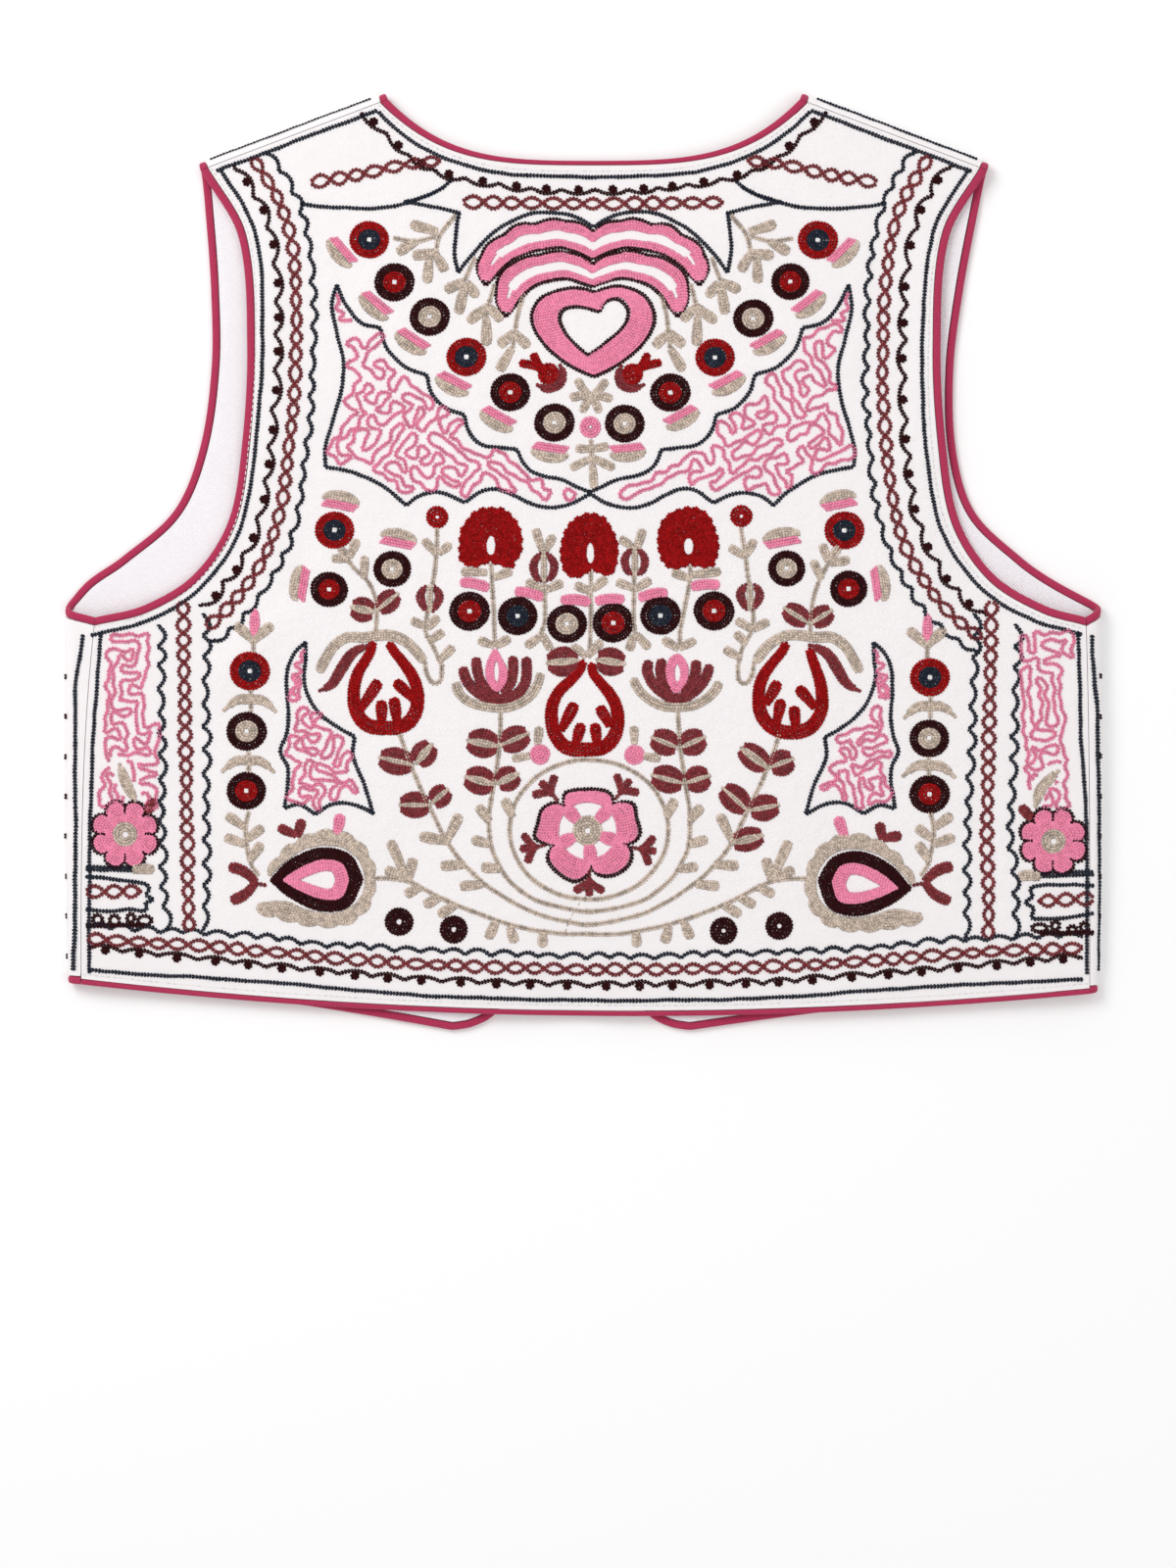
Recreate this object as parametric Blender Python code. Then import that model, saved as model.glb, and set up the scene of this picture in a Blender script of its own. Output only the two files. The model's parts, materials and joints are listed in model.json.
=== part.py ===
"""Cropped folk waistcoat, laid out flat on a table with its back uppermost.

The two fronts lie face down on the table. Each one turns up round the side fold and the shoulder fold, and meets the
back at the side seam and the shoulder seam, which lie on the upper side. The back lies on the fronts. Every raw edge
carries a bias binding. Each cloth piece is cut flat to an outline, given its thickness, and then laid in place point
by point.

Metres. +X is to the right of someone who looks down on the back, +Y runs from hem to shoulders, and +Z is up.
"""

import math

import bmesh
import bpy
from mathutils import Vector
from mathutils.geometry import delaunay_2d_cdt

# Cloth
WALL = 0.0018  # embroidered cloth
LINING = 0.0010
GAP = 0.0003  # between pieces
BINDING_WIDTH = 0.0036
BINDING_DEPTH = 0.0026

# The laid vest
HALF_WIDTH = 0.2403  # from X = 0 to either side fold, at the widest
WIDEST_Y = -0.075
SIDE_BOW = 0.0011  # a side fold runs in by this much at 0.1 m from the widest place
UNDERARM_Y = -0.0278
HEM_SIDE_Y = -0.1963  # the back's hem at the side seams, on average
HEM_TILT = 0.0022  # it is this much higher on the left and lower on the right
HEM_DIP = 0.0125  # the back's hem is this much lower at its centre
SIDE_FOLD_HIGH = 0.0038  # radius of the wall's middle round a side fold, at the underarm
SIDE_FOLD_LOW = 0.0029  # and at the hem
SHOULDER_FOLD = 0.0024
BACK_REST = 0.0047  # height of the back's middle where it lies on the lined fronts
SIDE_SWELL = 0.038  # how far in from a side fold the back sinks to its rest
SHOULDER_SWELL = 0.022

# The back, measured out from its centre line
BACK_CENTRE = 0.0050
NECK_HALF = 0.0970
NECK_BOTTOM_Y = 0.1842
NECK_POWER = 3.5
SHOULDER_NECK = (0.0995, 0.2161)  # the shoulder fold's outer line, at the neck and at the armhole
SHOULDER_TIP = (0.1815, 0.1851)
ARMHOLE_HALF_TIP = 0.1805
# Each side seam's distance from X = 0. The vest lies turned a little, so that more of the left front shows.
# side: (at the underarm, at the hem)
SIDE_SEAMS = {
    -1: (0.2257, 0.2322),
    1: (0.2325, 0.2344),
}
# (out from the centre line, Y)
BACK_ARMHOLE = (
    (0.1629, 0.1508),
    (0.1588, 0.0994),
    (0.1615, 0.0516),
    (0.1679, 0.0175),
    (0.1843, -0.0075),
    (0.2079, -0.0221),
)

# The fronts, measured out from their own centre line, which leans to the left below the shoulders
FRONT_CENTRE_LOW = -0.0055
LEAN_TOP_Y = 0.180
# (out from the centre line, Y)
FRONT_ARMHOLE = (
    (0.1772, 0.1608),
    (0.1727, 0.1258),
    (0.1704, 0.0900),
    (0.1738, 0.0516),
    (0.1843, 0.0225),
    (0.2077, 0.0007),
    (0.2230, -0.0100),
)
FRONT_EDGE = (
    (0.0860, 0.1800),
    (0.0620, 0.1100),
    (0.0300, 0.0250),
    (0.0100, -0.0500),
    (0.0065, -0.1000),
    (0.0100, -0.1450),
    (0.0210, -0.1850),
    (0.0365, -0.2085),
    (0.0460, -0.2139),
    (0.0550, -0.2156),
)
FRONT_HEM_RUN = 0.180  # from the last of those points the hem rises over this width
FRONT_HEM_POWER = 1.5
FRONT_HEM_LIFT = 0.0010  # the front's hem is this much above the back's at the side fold

# Ridges and troughs of the back, placed by hand
# (centre X, centre Y, heading in degrees from +X, half length, half width, rise)
RIPPLES = (
    (-0.1490, 0.0950, 91, 0.0800, 0.0130, 0.0019),
    (0.1600, 0.0880, 88, 0.0850, 0.0150, 0.0022),
    (-0.1560, -0.0420, 38, 0.0500, 0.0090, 0.0010),
    (0.1690, -0.0470, 142, 0.0560, 0.0100, 0.0012),
    (-0.1050, -0.1250, 74, 0.0600, 0.0150, 0.0007),
    (0.0900, -0.1180, 101, 0.0720, 0.0170, 0.0009),
    (-0.0600, 0.0900, 118, 0.0520, 0.0160, 0.0007),
    (0.0780, 0.0760, 64, 0.0470, 0.0140, 0.0006),
    (0.0050, 0.1700, 90, 0.0450, 0.0330, -0.0021),
    (-0.0055, -0.2050, 90, 0.0450, 0.0150, -0.0013),
    (-0.0500, -0.1980, 80, 0.0240, 0.0120, 0.0008),
    (0.0620, -0.1960, 97, 0.0260, 0.0130, 0.0009),
    (0.1420, -0.1850, 83, 0.0300, 0.0120, 0.0007),
)

# Mesh steps
EDGE_STEP = 0.0105
ROLL_STEP = 0.0020
BACK_STEP = 0.0150
FRONT_STEP = 0.0450
FOLD_LINES = 6
FOLD_LINE_STEP = 0.0130

CLOTH_COLOUR = (0.89, 0.86, 0.87, 1.0)
LINING_COLOUR = (0.86, 0.85, 0.86, 1.0)
BINDING_COLOUR = (0.50, 0.045, 0.125, 1.0)

SIDES = {"left": -1, "right": 1}


def clamp(value, low, high):
    return max(low, min(high, value))


def down_side(y):
    """Share of the way from the underarm to the hem."""
    return clamp((UNDERARM_Y - y) / (UNDERARM_Y - HEM_SIDE_Y), 0.0, 1.0)


def side_fold(y):
    return SIDE_FOLD_HIGH + (SIDE_FOLD_LOW - SIDE_FOLD_HIGH) * down_side(y)


def bend_x(y):
    """Distance from X = 0 at which a side fold starts to turn."""
    bow = SIDE_BOW * ((y - WIDEST_Y) / 0.1) ** 2
    return HALF_WIDTH - bow - WALL / 2 - side_fold(y)


def seam_x(side, y):
    high, low = SIDE_SEAMS[side]
    return side * (high + (low - high) * (1 - (1 - down_side(y)) ** 3))


def hem_end_y(side):
    return HEM_SIDE_Y - side * HEM_TILT


def front_centre(y):
    return FRONT_CENTRE_LOW + (BACK_CENTRE - FRONT_CENTRE_LOW) * clamp(y / LEAN_TOP_Y, 0.0, 1.0)


def shoulder(side):
    """The point by the neck where a shoulder fold starts to turn, the way along the fold and the way out over it."""
    neck = Vector((BACK_CENTRE + side * SHOULDER_NECK[0], SHOULDER_NECK[1]))
    tip = Vector((BACK_CENTRE + side * SHOULDER_TIP[0], SHOULDER_TIP[1]))
    along = (tip - neck).normalized()
    out = Vector((-along.y, along.x)) * side
    return neck - out * (SHOULDER_FOLD + WALL / 2), along, out


def shoulder_seam(side, half):
    """The point of the back's shoulder seam that is this far out from the centre line."""
    start, along, out = shoulder(side)
    start = start - out * GAP
    return start + along * ((BACK_CENTRE + side * half - start.x) / along.x)


def segment_distance(point, start, end):
    run = end - start
    share = clamp((point - start).dot(run) / run.length_squared, 0.0, 1.0)
    return (point - start - run * share).length


def top_height(x, y):
    """Height of the middle of the upper layer."""
    from_side = math.hypot(max(bend_x(y) - abs(x), 0.0), max(y - UNDERARM_Y, 0.0))
    side = math.exp(-((from_side / SIDE_SWELL) ** 2))
    start, along, _ = shoulder(1 if x > BACK_CENTRE else -1)
    end = start + along * math.dist(SHOULDER_NECK, SHOULDER_TIP)
    top = math.exp(-((segment_distance(Vector((x, y)), start, end) / SHOULDER_SWELL) ** 2))
    height = BACK_REST
    height += (WALL / 2 + 2 * side_fold(y) - BACK_REST) * side
    height += (WALL / 2 + 2 * SHOULDER_FOLD - BACK_REST) * top
    for centre_x, centre_y, heading, half_length, half_width, rise in RIPPLES:
        turn = math.radians(heading)
        dx, dy = x - centre_x, y - centre_y
        lengthwise = (dx * math.cos(turn) + dy * math.sin(turn)) / half_length
        across = (dy * math.cos(turn) - dx * math.sin(turn)) / half_width
        height += rise * math.exp(-(lengthwise**2) - across**2) * (1 - side) * (1 - top)
    return height


def place_back(u, v, rise):
    """Where a point of the flat back lies. The rise is from the wall's middle, outwards."""
    return Vector((u, v, top_height(u, v) + rise))


def folds_passed(u, v):
    """How far a point of a flat front is past the start of its side fold and of its shoulder fold."""
    start, _, out = shoulder(1 if u > 0 else -1)
    return abs(u) - bend_x(v) if v < 0 else -1.0, (Vector((u, v)) - start).dot(out)


def place_front(u, v, inset):
    """Where a point of a flat front lies. The inset is from the wall's middle, towards the inside of the vest."""
    past_side, past_shoulder = folds_passed(u, v)
    if past_side > 0:
        past, radius, way = past_side, side_fold(v), Vector((math.copysign(1, u), 0.0))
    elif past_shoulder > 0:
        past, radius, way = past_shoulder, SHOULDER_FOLD, shoulder(1 if u > 0 else -1)[2]
    else:
        return Vector((u, v, WALL / 2 + inset))
    base = Vector((u, v)) - way * past
    angle = past / radius
    if angle < math.pi:
        laid = base + way * (radius - inset) * math.sin(angle)
        return Vector((*laid, WALL / 2 + radius - (radius - inset) * math.cos(angle)))
    laid = base - way * (past - math.pi * radius)
    return Vector((*laid, top_height(*laid) - inset))


def in_fold(point):
    """True where a front turns over."""
    past_side, past_shoulder = folds_passed(*point)
    by_side = -0.001 < past_side < math.pi * side_fold(point.y) + 0.001
    return by_side or -0.001 < past_shoulder < math.pi * SHOULDER_FOLD + 0.001


def smooth(points, fine=0.0005):
    """Dense points on a smooth curve through these points."""
    points = [Vector(p) for p in points]
    ends = [2 * points[0] - points[1], *points, 2 * points[-1] - points[-2]]
    dense = []
    for before, start, end, after in zip(ends, ends[1:], ends[2:], ends[3:]):
        span = (end - start).length
        leave = (end - before) * (span / (span + (start - before).length))
        arrive = (after - start) * (span / (span + (after - end).length))
        count = max(2, round(span / fine))
        for i in range(count):
            t = i / count
            point = start * (2 * t**3 - 3 * t**2 + 1) + end * (3 * t**2 - 2 * t**3)
            dense.append(point + leave * (t**3 - 2 * t**2 + t) + arrive * (t**3 - t**2))
    return dense + [points[-1]]


def thinned(dense):
    """A few of the dense points, closer together in the folds, with both ends kept."""
    kept, walked = [dense[0]], 0.0
    for before, point in zip(dense, dense[1:]):
        walked += (point - before).length
        if walked >= (ROLL_STEP if in_fold(point) else EDGE_STEP):
            kept.append(point)
            walked = 0.0
    if walked < ROLL_STEP / 2:
        kept.pop()
    return kept + [dense[-1]]


def straight(start, end, step):
    """Points from start to end, without either."""
    count = max(1, round((end - start).length / step))
    return [start.lerp(end, i / count) for i in range(1, count)]


def aside(line, distance, first_way, last_way):
    """The line moved to its right. Its ends move along the seams that they lie on, whose ways are given."""
    moved = []
    for i, point in enumerate(line):
        ahead = line[min(i + 1, len(line) - 1)] - line[max(i - 1, 0)]
        right = Vector((ahead.y, -ahead.x)).normalized()
        if i in (0, len(line) - 1):
            way = first_way if i == 0 else last_way
            right = way / way.dot(right)
        moved.append(point + right * distance)
    return moved


def seam_way(side, y):
    """The way along a side seam."""
    return Vector((seam_x(side, y + 0.004) - seam_x(side, y - 0.004), 0.008)).normalized()


def seam_ways(side):
    """The ways along the seams at the shoulder, the underarm and the hem."""
    return shoulder(side)[1], seam_way(side, UNDERARM_Y), seam_way(side, HEM_SIDE_Y)


def back_edges():
    """The middle lines of the back's bindings, clockwise from the neck, each with the ways of the seams at its ends."""
    neck, hem = [], []
    for i in range(-100, 101):
        share = i / 100
        top = shoulder_seam(1, NECK_HALF).y
        rise = (top - NECK_BOTTOM_Y) * abs(share) ** NECK_POWER
        neck.append(Vector((BACK_CENTRE + share * NECK_HALF, NECK_BOTTOM_Y + rise)))
        drop = HEM_DIP * (1 - share**2) - HEM_TILT * share
        x = (1 - share) / 2 * seam_x(1, HEM_SIDE_Y) + (1 + share) / 2 * seam_x(-1, HEM_SIDE_Y)
        hem.append(Vector((x, HEM_SIDE_Y - drop)))
    armholes = {}
    for name, side in SIDES.items():
        points = [Vector((BACK_CENTRE + side * half, y)) for half, y in BACK_ARMHOLE]
        low = Vector((seam_x(side, UNDERARM_Y), UNDERARM_Y))
        armholes[name] = smooth([shoulder_seam(side, ARMHOLE_HALF_TIP), *points, low])
    left, right = seam_ways(-1), seam_ways(1)
    return {
        "neck_back": (thinned(neck), left[0], right[0]),
        "armhole_back_right": (thinned(armholes["right"]), right[0], right[1]),
        "hem_back": (thinned(hem), right[2], left[2]),
        "armhole_back_left": (thinned(armholes["left"])[::-1], left[1], left[0]),
    }


def seam_reach(side, y):
    """How far out a flat front reaches to its side seam, at this Y."""
    return 2 * bend_x(y) + math.pi * side_fold(y) - abs(seam_x(side, y)) - GAP


def seam_points(side, start_y, end_y, reach):
    """Points down or up a side seam between two heights. The reach function gives the distance from X = 0."""
    count = max(1, round(abs(end_y - start_y) / FOLD_LINE_STEP))
    heights = [start_y + (end_y - start_y) * i / count for i in range(1, count)]
    return [Vector((side * reach(side, y), y)) for y in heights]


def back_reach(side, y):
    return abs(seam_x(side, y))


def front_edges(side):
    """The middle lines of a front's armhole binding and of its neck, front and hem binding, from shoulder to side."""
    start, along, out = shoulder(side)
    over = out * math.pi * SHOULDER_FOLD

    def placed(points):
        return [Vector((front_centre(y) + side * half, y)) for half, y in points]

    def on_fold(half):
        return start + along * (shoulder_seam(side, half) - start).dot(along)

    tip, neck = on_fold(ARMHOLE_HALF_TIP), on_fold(NECK_HALF)
    turn_y = UNDERARM_Y + 0.0050
    turn = Vector((side * (bend_x(turn_y) + side_fold(turn_y) * math.pi / 2), turn_y))
    low = Vector((side * seam_reach(side, UNDERARM_Y), UNDERARM_Y))
    armhole = smooth([tip + over, tip, *placed(FRONT_ARMHOLE), turn, low])
    edge = smooth([neck + over, neck, *placed(FRONT_EDGE)])
    corner = Vector(FRONT_EDGE[-1])
    end = Vector((side * seam_reach(side, HEM_SIDE_Y), hem_end_y(side)))
    hem_rise = end.y + FRONT_HEM_LIFT - corner.y
    hem_end = bend_x(HEM_SIDE_Y) - side * front_centre(HEM_SIDE_Y)
    for i in range(1, 301):
        half = corner.x + (hem_end - corner.x) * i / 300
        share = clamp((half - corner.x) / FRONT_HEM_RUN, 0.0, 1.0)
        edge += placed([(half, corner.y + hem_rise * (1 - (1 - share) ** FRONT_HEM_POWER))])
    edge += [*straight(edge[-1], end, 0.0005), end]
    return thinned(armhole), thinned(edge)


def inside(point, outline):
    odd = False
    for a, b in zip(outline, outline[1:] + outline[:1]):
        if (a.y > point.y) != (b.y > point.y):
            odd ^= point.x < a.x + (point.y - a.y) / (b.y - a.y) * (b.x - a.x)
    return odd


def clear_of(point, outline, margin):
    return all(segment_distance(point, a, b) > margin for a, b in zip(outline, outline[1:] + outline[:1]))


def lattice(outline, step):
    """Points inside the outline, in staggered rows."""
    xs, ys = [p.x for p in outline], [p.y for p in outline]
    row_step = step * math.sqrt(3) / 2
    points = []
    for row in range(math.ceil((max(ys) - min(ys)) / row_step)):
        for column in range(math.ceil((max(xs) - min(xs)) / step) + 1):
            point = Vector((min(xs) + (column - row % 2 / 2) * step, min(ys) + row * row_step))
            if inside(point, outline) and clear_of(point, outline, step * 0.4):
                points.append(point)
    return points


def fold_lines(side):
    """Lines along a front's folds, from beyond one end to beyond the other, so that its wall turns evenly there."""
    start, along, out = shoulder(side)
    lines = []
    for i in range(FOLD_LINES + 1):
        angle = math.pi * i / FOLD_LINES
        line = []
        y = HEM_SIDE_Y - 0.030
        while y < UNDERARM_Y + 0.027:
            line.append(Vector((side * (bend_x(y) + angle * side_fold(y)), y)))
            y += FOLD_LINE_STEP
        lines.append(line)
        ends = [start + out * angle * SHOULDER_FOLD + along * reach for reach in (-0.04, 0.13)]
        lines.append([ends[0], *straight(*ends, FOLD_LINE_STEP), ends[1]])
    return lines


def cut_sheet(outline, inner, lines):
    """Points and triangles of a flat sheet that is cut to the outline and creased along the lines."""
    points, edges = [*outline, *inner], []
    for line in lines:
        kept = [p for p in line if not inside(p, outline) or clear_of(p, outline, 0.0030)]
        edges += [(len(points) + i, len(points) + i + 1) for i in range(len(kept) - 1)]
        points += kept
    result = delaunay_2d_cdt(points, edges, [list(range(len(outline)))], 1, 1e-4)
    triangles = [t for t in result[2] if inside(sum((result[0][i] for i in t), Vector((0, 0))) / 3, outline)]
    return result[0], triangles


def material(name, colour, roughness):
    made = bpy.data.materials.new(name)
    made.use_nodes = True
    surface = made.node_tree.nodes["Principled BSDF"]
    surface.inputs["Base Color"].default_value = colour
    surface.inputs["Roughness"].default_value = roughness
    surface.inputs["Metallic"].default_value = 0.0
    made.diffuse_color = colour
    return made


def add_object(name, built, finish):
    mesh = bpy.data.meshes.new(name)
    built.to_mesh(mesh)
    built.free()
    mesh.materials.append(finish)
    made = bpy.data.objects.new(name, mesh)
    bpy.context.scene.collection.objects.link(made)


def add_cloth(name, sheet, low, high, place, finish):
    """A wall from its low face to its high face, cut flat and laid by the place function."""
    flat_points, triangles = sheet
    wall = bmesh.new()
    used = {i: wall.verts.new((*flat_points[i], low)) for i in sorted({i for t in triangles for i in t})}
    for triangle in triangles:
        wall.faces.new([used[i] for i in triangle])
    raised = bmesh.ops.extrude_face_region(wall, geom=wall.faces[:], use_keep_orig=True)
    for made in raised["geom"]:
        if isinstance(made, bmesh.types.BMVert):
            made.co.z = high
    bmesh.ops.recalc_face_normals(wall, faces=wall.faces)
    for point in wall.verts:
        point.co = place(*point.co)
    add_object(name, wall, finish)


def add_binding(name, line, ways, low, place, finish):
    """A bias binding: a strip with rounded edges that follows its middle line."""
    high = low + BINDING_DEPTH
    middle = (low + high) / 2
    section = ((-0.68, low), (0.68, low), (1.0, middle), (0.68, high), (-0.68, high), (-1.0, middle))
    strands = [(aside(line, share * BINDING_WIDTH / 2, *ways), height) for share, height in section]
    strip = bmesh.new()
    rings = [[strip.verts.new(place(*strand[i], height)) for strand, height in strands] for i in range(len(line))]
    for ring, following in zip(rings, rings[1:]):
        for j in range(len(section)):
            k = (j + 1) % len(section)
            strip.faces.new((ring[j], ring[k], following[k], following[j]))
    strip.faces.new(rings[0])
    strip.faces.new(rings[-1][::-1])
    bmesh.ops.recalc_face_normals(strip, faces=strip.faces)
    add_object(name, strip, finish)


def build_back(cloth, binding):
    """The back, and the bindings of its neck, hem and armholes."""
    edges = {}
    for name, (line, *ways) in back_edges().items():
        add_binding("binding_" + name, line, ways, -BINDING_DEPTH / 2, place_back, binding)
        edges[name] = aside(line, BINDING_WIDTH / 2 + GAP, *ways)
    neck, right, hem, left = edges.values()
    outline = [*neck, *straight(neck[-1], right[0], BACK_STEP), *right]
    outline += [*seam_points(1, right[-1].y, hem[0].y, back_reach), *hem]
    outline += [*seam_points(-1, hem[-1].y, left[0].y, back_reach), *left]
    outline += straight(left[-1], neck[0], BACK_STEP)
    sheet = cut_sheet(outline, lattice(outline, BACK_STEP), [])
    add_cloth("back", sheet, -WALL / 2, WALL / 2, place_back, cloth)


def mirrored(way):
    """A way on the upper side of a side fold, as it is on the flat front before that turns over."""
    return Vector((-way.x, way.y))


def build_front(name, side, cloth, lining, binding):
    """A front, its lining, and the bindings of its armhole and of its other edges."""
    armhole, edge = front_edges(side)
    top_way, underarm_way, hem_way = seam_ways(side)
    armhole_ways, edge_ways = (top_way, mirrored(underarm_way)), (top_way, mirrored(hem_way))
    add_binding("binding_armhole_front_" + name, armhole, armhole_ways, -WALL / 2, place_front, binding)
    add_binding("binding_front_" + name, edge, edge_ways, -WALL / 2, place_front, binding)
    inset = side * (BINDING_WIDTH / 2 + GAP)
    armhole = aside(armhole, inset, *armhole_ways)
    edge = aside(edge, -inset, *edge_ways)
    outline = [*armhole, *seam_points(side, armhole[-1].y, edge[-1].y, seam_reach), *edge[::-1]]
    outline += straight(edge[0], armhole[0], FOLD_LINE_STEP)
    lines = fold_lines(side)
    inner = [p for p in lattice(outline, FRONT_STEP) if max(folds_passed(*p)) < -0.012]
    add_cloth("front_" + name, cut_sheet(outline, inner, lines), -WALL / 2, WALL / 2, place_front, cloth)
    short = [p for p in outline if folds_passed(*p)[1] < -0.0030]
    low = WALL / 2 + GAP
    add_cloth("lining_front_" + name, cut_sheet(short, inner, lines), low, low + LINING, place_front, lining)


def build_vest():
    """The whole vest, one object for each piece."""
    for existing in list(bpy.data.objects):
        bpy.data.objects.remove(existing)
    cloth = material("off_white_cloth", CLOTH_COLOUR, 0.9)
    lining = material("white_lining", LINING_COLOUR, 0.85)
    binding = material("raspberry_binding", BINDING_COLOUR, 0.8)
    build_back(cloth, binding)
    for name, side in SIDES.items():
        build_front(name, side, cloth, lining, binding)


if __name__ == "__main__":
    build_vest()
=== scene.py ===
"""Cropped folk waistcoat laid out flat, back uppermost: fine cloth, bindings and hand chain stitch over the CAD frame.

Metres. The sizes of the laid cloth are those of the CAD. The embroidery is planned in millimetres on the back: out from
the back's centre line, and up from Y = 0. Every motif is drawn here by its own curves and then sewn along them.
"""

import json
import math
from functools import partial

import bmesh
import bpy
import numpy as np
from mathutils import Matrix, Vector
from mathutils.geometry import delaunay_2d_cdt

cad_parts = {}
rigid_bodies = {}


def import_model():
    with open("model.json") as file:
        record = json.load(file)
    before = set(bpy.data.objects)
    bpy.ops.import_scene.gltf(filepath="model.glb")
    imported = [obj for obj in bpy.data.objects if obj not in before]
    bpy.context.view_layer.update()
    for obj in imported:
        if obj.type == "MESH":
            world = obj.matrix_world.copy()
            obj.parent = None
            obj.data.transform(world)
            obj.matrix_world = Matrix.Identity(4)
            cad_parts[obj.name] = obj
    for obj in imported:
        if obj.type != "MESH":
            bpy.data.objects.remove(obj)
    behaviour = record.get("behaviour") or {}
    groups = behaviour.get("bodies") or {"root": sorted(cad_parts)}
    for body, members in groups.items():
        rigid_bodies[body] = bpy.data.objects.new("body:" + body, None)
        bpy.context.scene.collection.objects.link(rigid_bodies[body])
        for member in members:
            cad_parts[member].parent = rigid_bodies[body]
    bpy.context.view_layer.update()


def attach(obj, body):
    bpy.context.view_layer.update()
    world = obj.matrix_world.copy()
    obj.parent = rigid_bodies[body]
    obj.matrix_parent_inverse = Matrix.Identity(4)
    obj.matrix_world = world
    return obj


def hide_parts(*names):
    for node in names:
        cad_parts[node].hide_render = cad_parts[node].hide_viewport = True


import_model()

bl_info = {
    "name": "Folk waistcoat",
    "version": (1, 0, 0),
    "blender": (4, 5, 0),
    "location": "3D View > Sidebar > Waistcoat",
    "description": "Builds an embroidered folk waistcoat that lies flat on its fronts",
    "category": "Add Mesh",
}

# The laid cloth, as in the CAD
WALL = 0.0018
LINING = 0.0010
GAP = 0.0003
BINDING_WIDTH = 0.0036
BINDING_DEPTH = 0.0026
HALF_WIDTH = 0.2403
WIDEST_Y = -0.075
SIDE_BOW = 0.0011
UNDERARM_Y = -0.0278
HEM_SIDE_Y = -0.1963
HEM_TILT = 0.0022
HEM_DIP = 0.0125
SIDE_FOLD_HIGH = 0.0038
SIDE_FOLD_LOW = 0.0029
SHOULDER_FOLD = 0.0024
BACK_REST = 0.0047
SIDE_SWELL = 0.038
SHOULDER_SWELL = 0.022
BACK_CENTRE = 0.0050
NECK_HALF = 0.0970
NECK_BOTTOM_Y = 0.1842
NECK_POWER = 3.5
SHOULDER_NECK = (0.0995, 0.2161)
SHOULDER_TIP = (0.1815, 0.1851)
ARMHOLE_HALF_TIP = 0.1805
SIDE_SEAMS = {-1: (0.2257, 0.2322), 1: (0.2325, 0.2344)}
BACK_ARMHOLE = (
    (0.1629, 0.1508),
    (0.1588, 0.0994),
    (0.1615, 0.0516),
    (0.1679, 0.0175),
    (0.1843, -0.0075),
    (0.2079, -0.0221),
)
FRONT_CENTRE_LOW = -0.0055
LEAN_TOP_Y = 0.180
FRONT_ARMHOLE = (
    (0.1772, 0.1608),
    (0.1727, 0.1258),
    (0.1704, 0.0900),
    (0.1738, 0.0516),
    (0.1843, 0.0225),
    (0.2077, 0.0007),
    (0.2230, -0.0100),
)
FRONT_EDGE = (
    (0.0860, 0.1800),
    (0.0620, 0.1100),
    (0.0300, 0.0250),
    (0.0100, -0.0500),
    (0.0065, -0.1000),
    (0.0100, -0.1450),
    (0.0210, -0.1850),
    (0.0365, -0.2085),
    (0.0460, -0.2139),
    (0.0550, -0.2156),
)
FRONT_HEM_RUN = 0.180
FRONT_HEM_POWER = 1.5
FRONT_HEM_LIFT = 0.0010
# (centre X, centre Y, heading in degrees, half length, half width, rise)
RIPPLES = (
    (-0.1490, 0.0950, 91, 0.0800, 0.0130, 0.0019),
    (0.1600, 0.0880, 88, 0.0850, 0.0150, 0.0022),
    (-0.1560, -0.0420, 38, 0.0500, 0.0090, 0.0010),
    (0.1690, -0.0470, 142, 0.0560, 0.0100, 0.0012),
    (-0.1050, -0.1250, 74, 0.0600, 0.0150, 0.0007),
    (0.0900, -0.1180, 101, 0.0720, 0.0170, 0.0009),
    (-0.0600, 0.0900, 118, 0.0520, 0.0160, 0.0007),
    (0.0780, 0.0760, 64, 0.0470, 0.0140, 0.0006),
    (0.0050, 0.1700, 90, 0.0450, 0.0330, -0.0021),
    (-0.0055, -0.2050, 90, 0.0450, 0.0150, -0.0013),
    (-0.0500, -0.1980, 80, 0.0240, 0.0120, 0.0008),
    (0.0620, -0.1960, 97, 0.0260, 0.0130, 0.0009),
    (0.1420, -0.1850, 83, 0.0300, 0.0120, 0.0007),
)

# Mesh steps
EDGE_STEP = 0.0020
BACK_STEP = 0.0040
FRONT_STEP = 0.0120
FOLD_LINES = 12
FOLD_LINE_STEP = 0.0050
RING_STEP = 0.0016
RING_SIDES = 12

SEAM_SPAN = 0.004  # half the run of a seam over which its way is measured
FOLD_MARGIN = 0.0040  # a front's inner points keep this clear of its folds
TURN_LIFT = 0.0050  # a front's armhole turns over the side this far above the underarm
LINING_SHORT = 0.0030  # a lining's top ends this far before the shoulder fold
NECK_BINDING = 0.0021  # in the middle, where it is narrowest
NECK_WIDENING = 0.0015  # from there to the shoulders
HEM_BINDING = 0.0024
MM = 0.001

SIDES = {"left": -1, "right": 1}


def down_side(y):
    """Share of the way from the underarm to the hem."""
    return np.clip((UNDERARM_Y - y) / (UNDERARM_Y - HEM_SIDE_Y), 0.0, 1.0)


def side_fold(y):
    return SIDE_FOLD_HIGH + (SIDE_FOLD_LOW - SIDE_FOLD_HIGH) * down_side(y)


def bend_x(y):
    """Distance from X = 0 at which a side fold starts to turn."""
    return HALF_WIDTH - SIDE_BOW * ((y - WIDEST_Y) / 0.1) ** 2 - WALL / 2 - side_fold(y)


def seam_x(side, y):
    high, low = SIDE_SEAMS[side]
    return side * (high + (low - high) * (1 - (1 - down_side(y)) ** 3))


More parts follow.
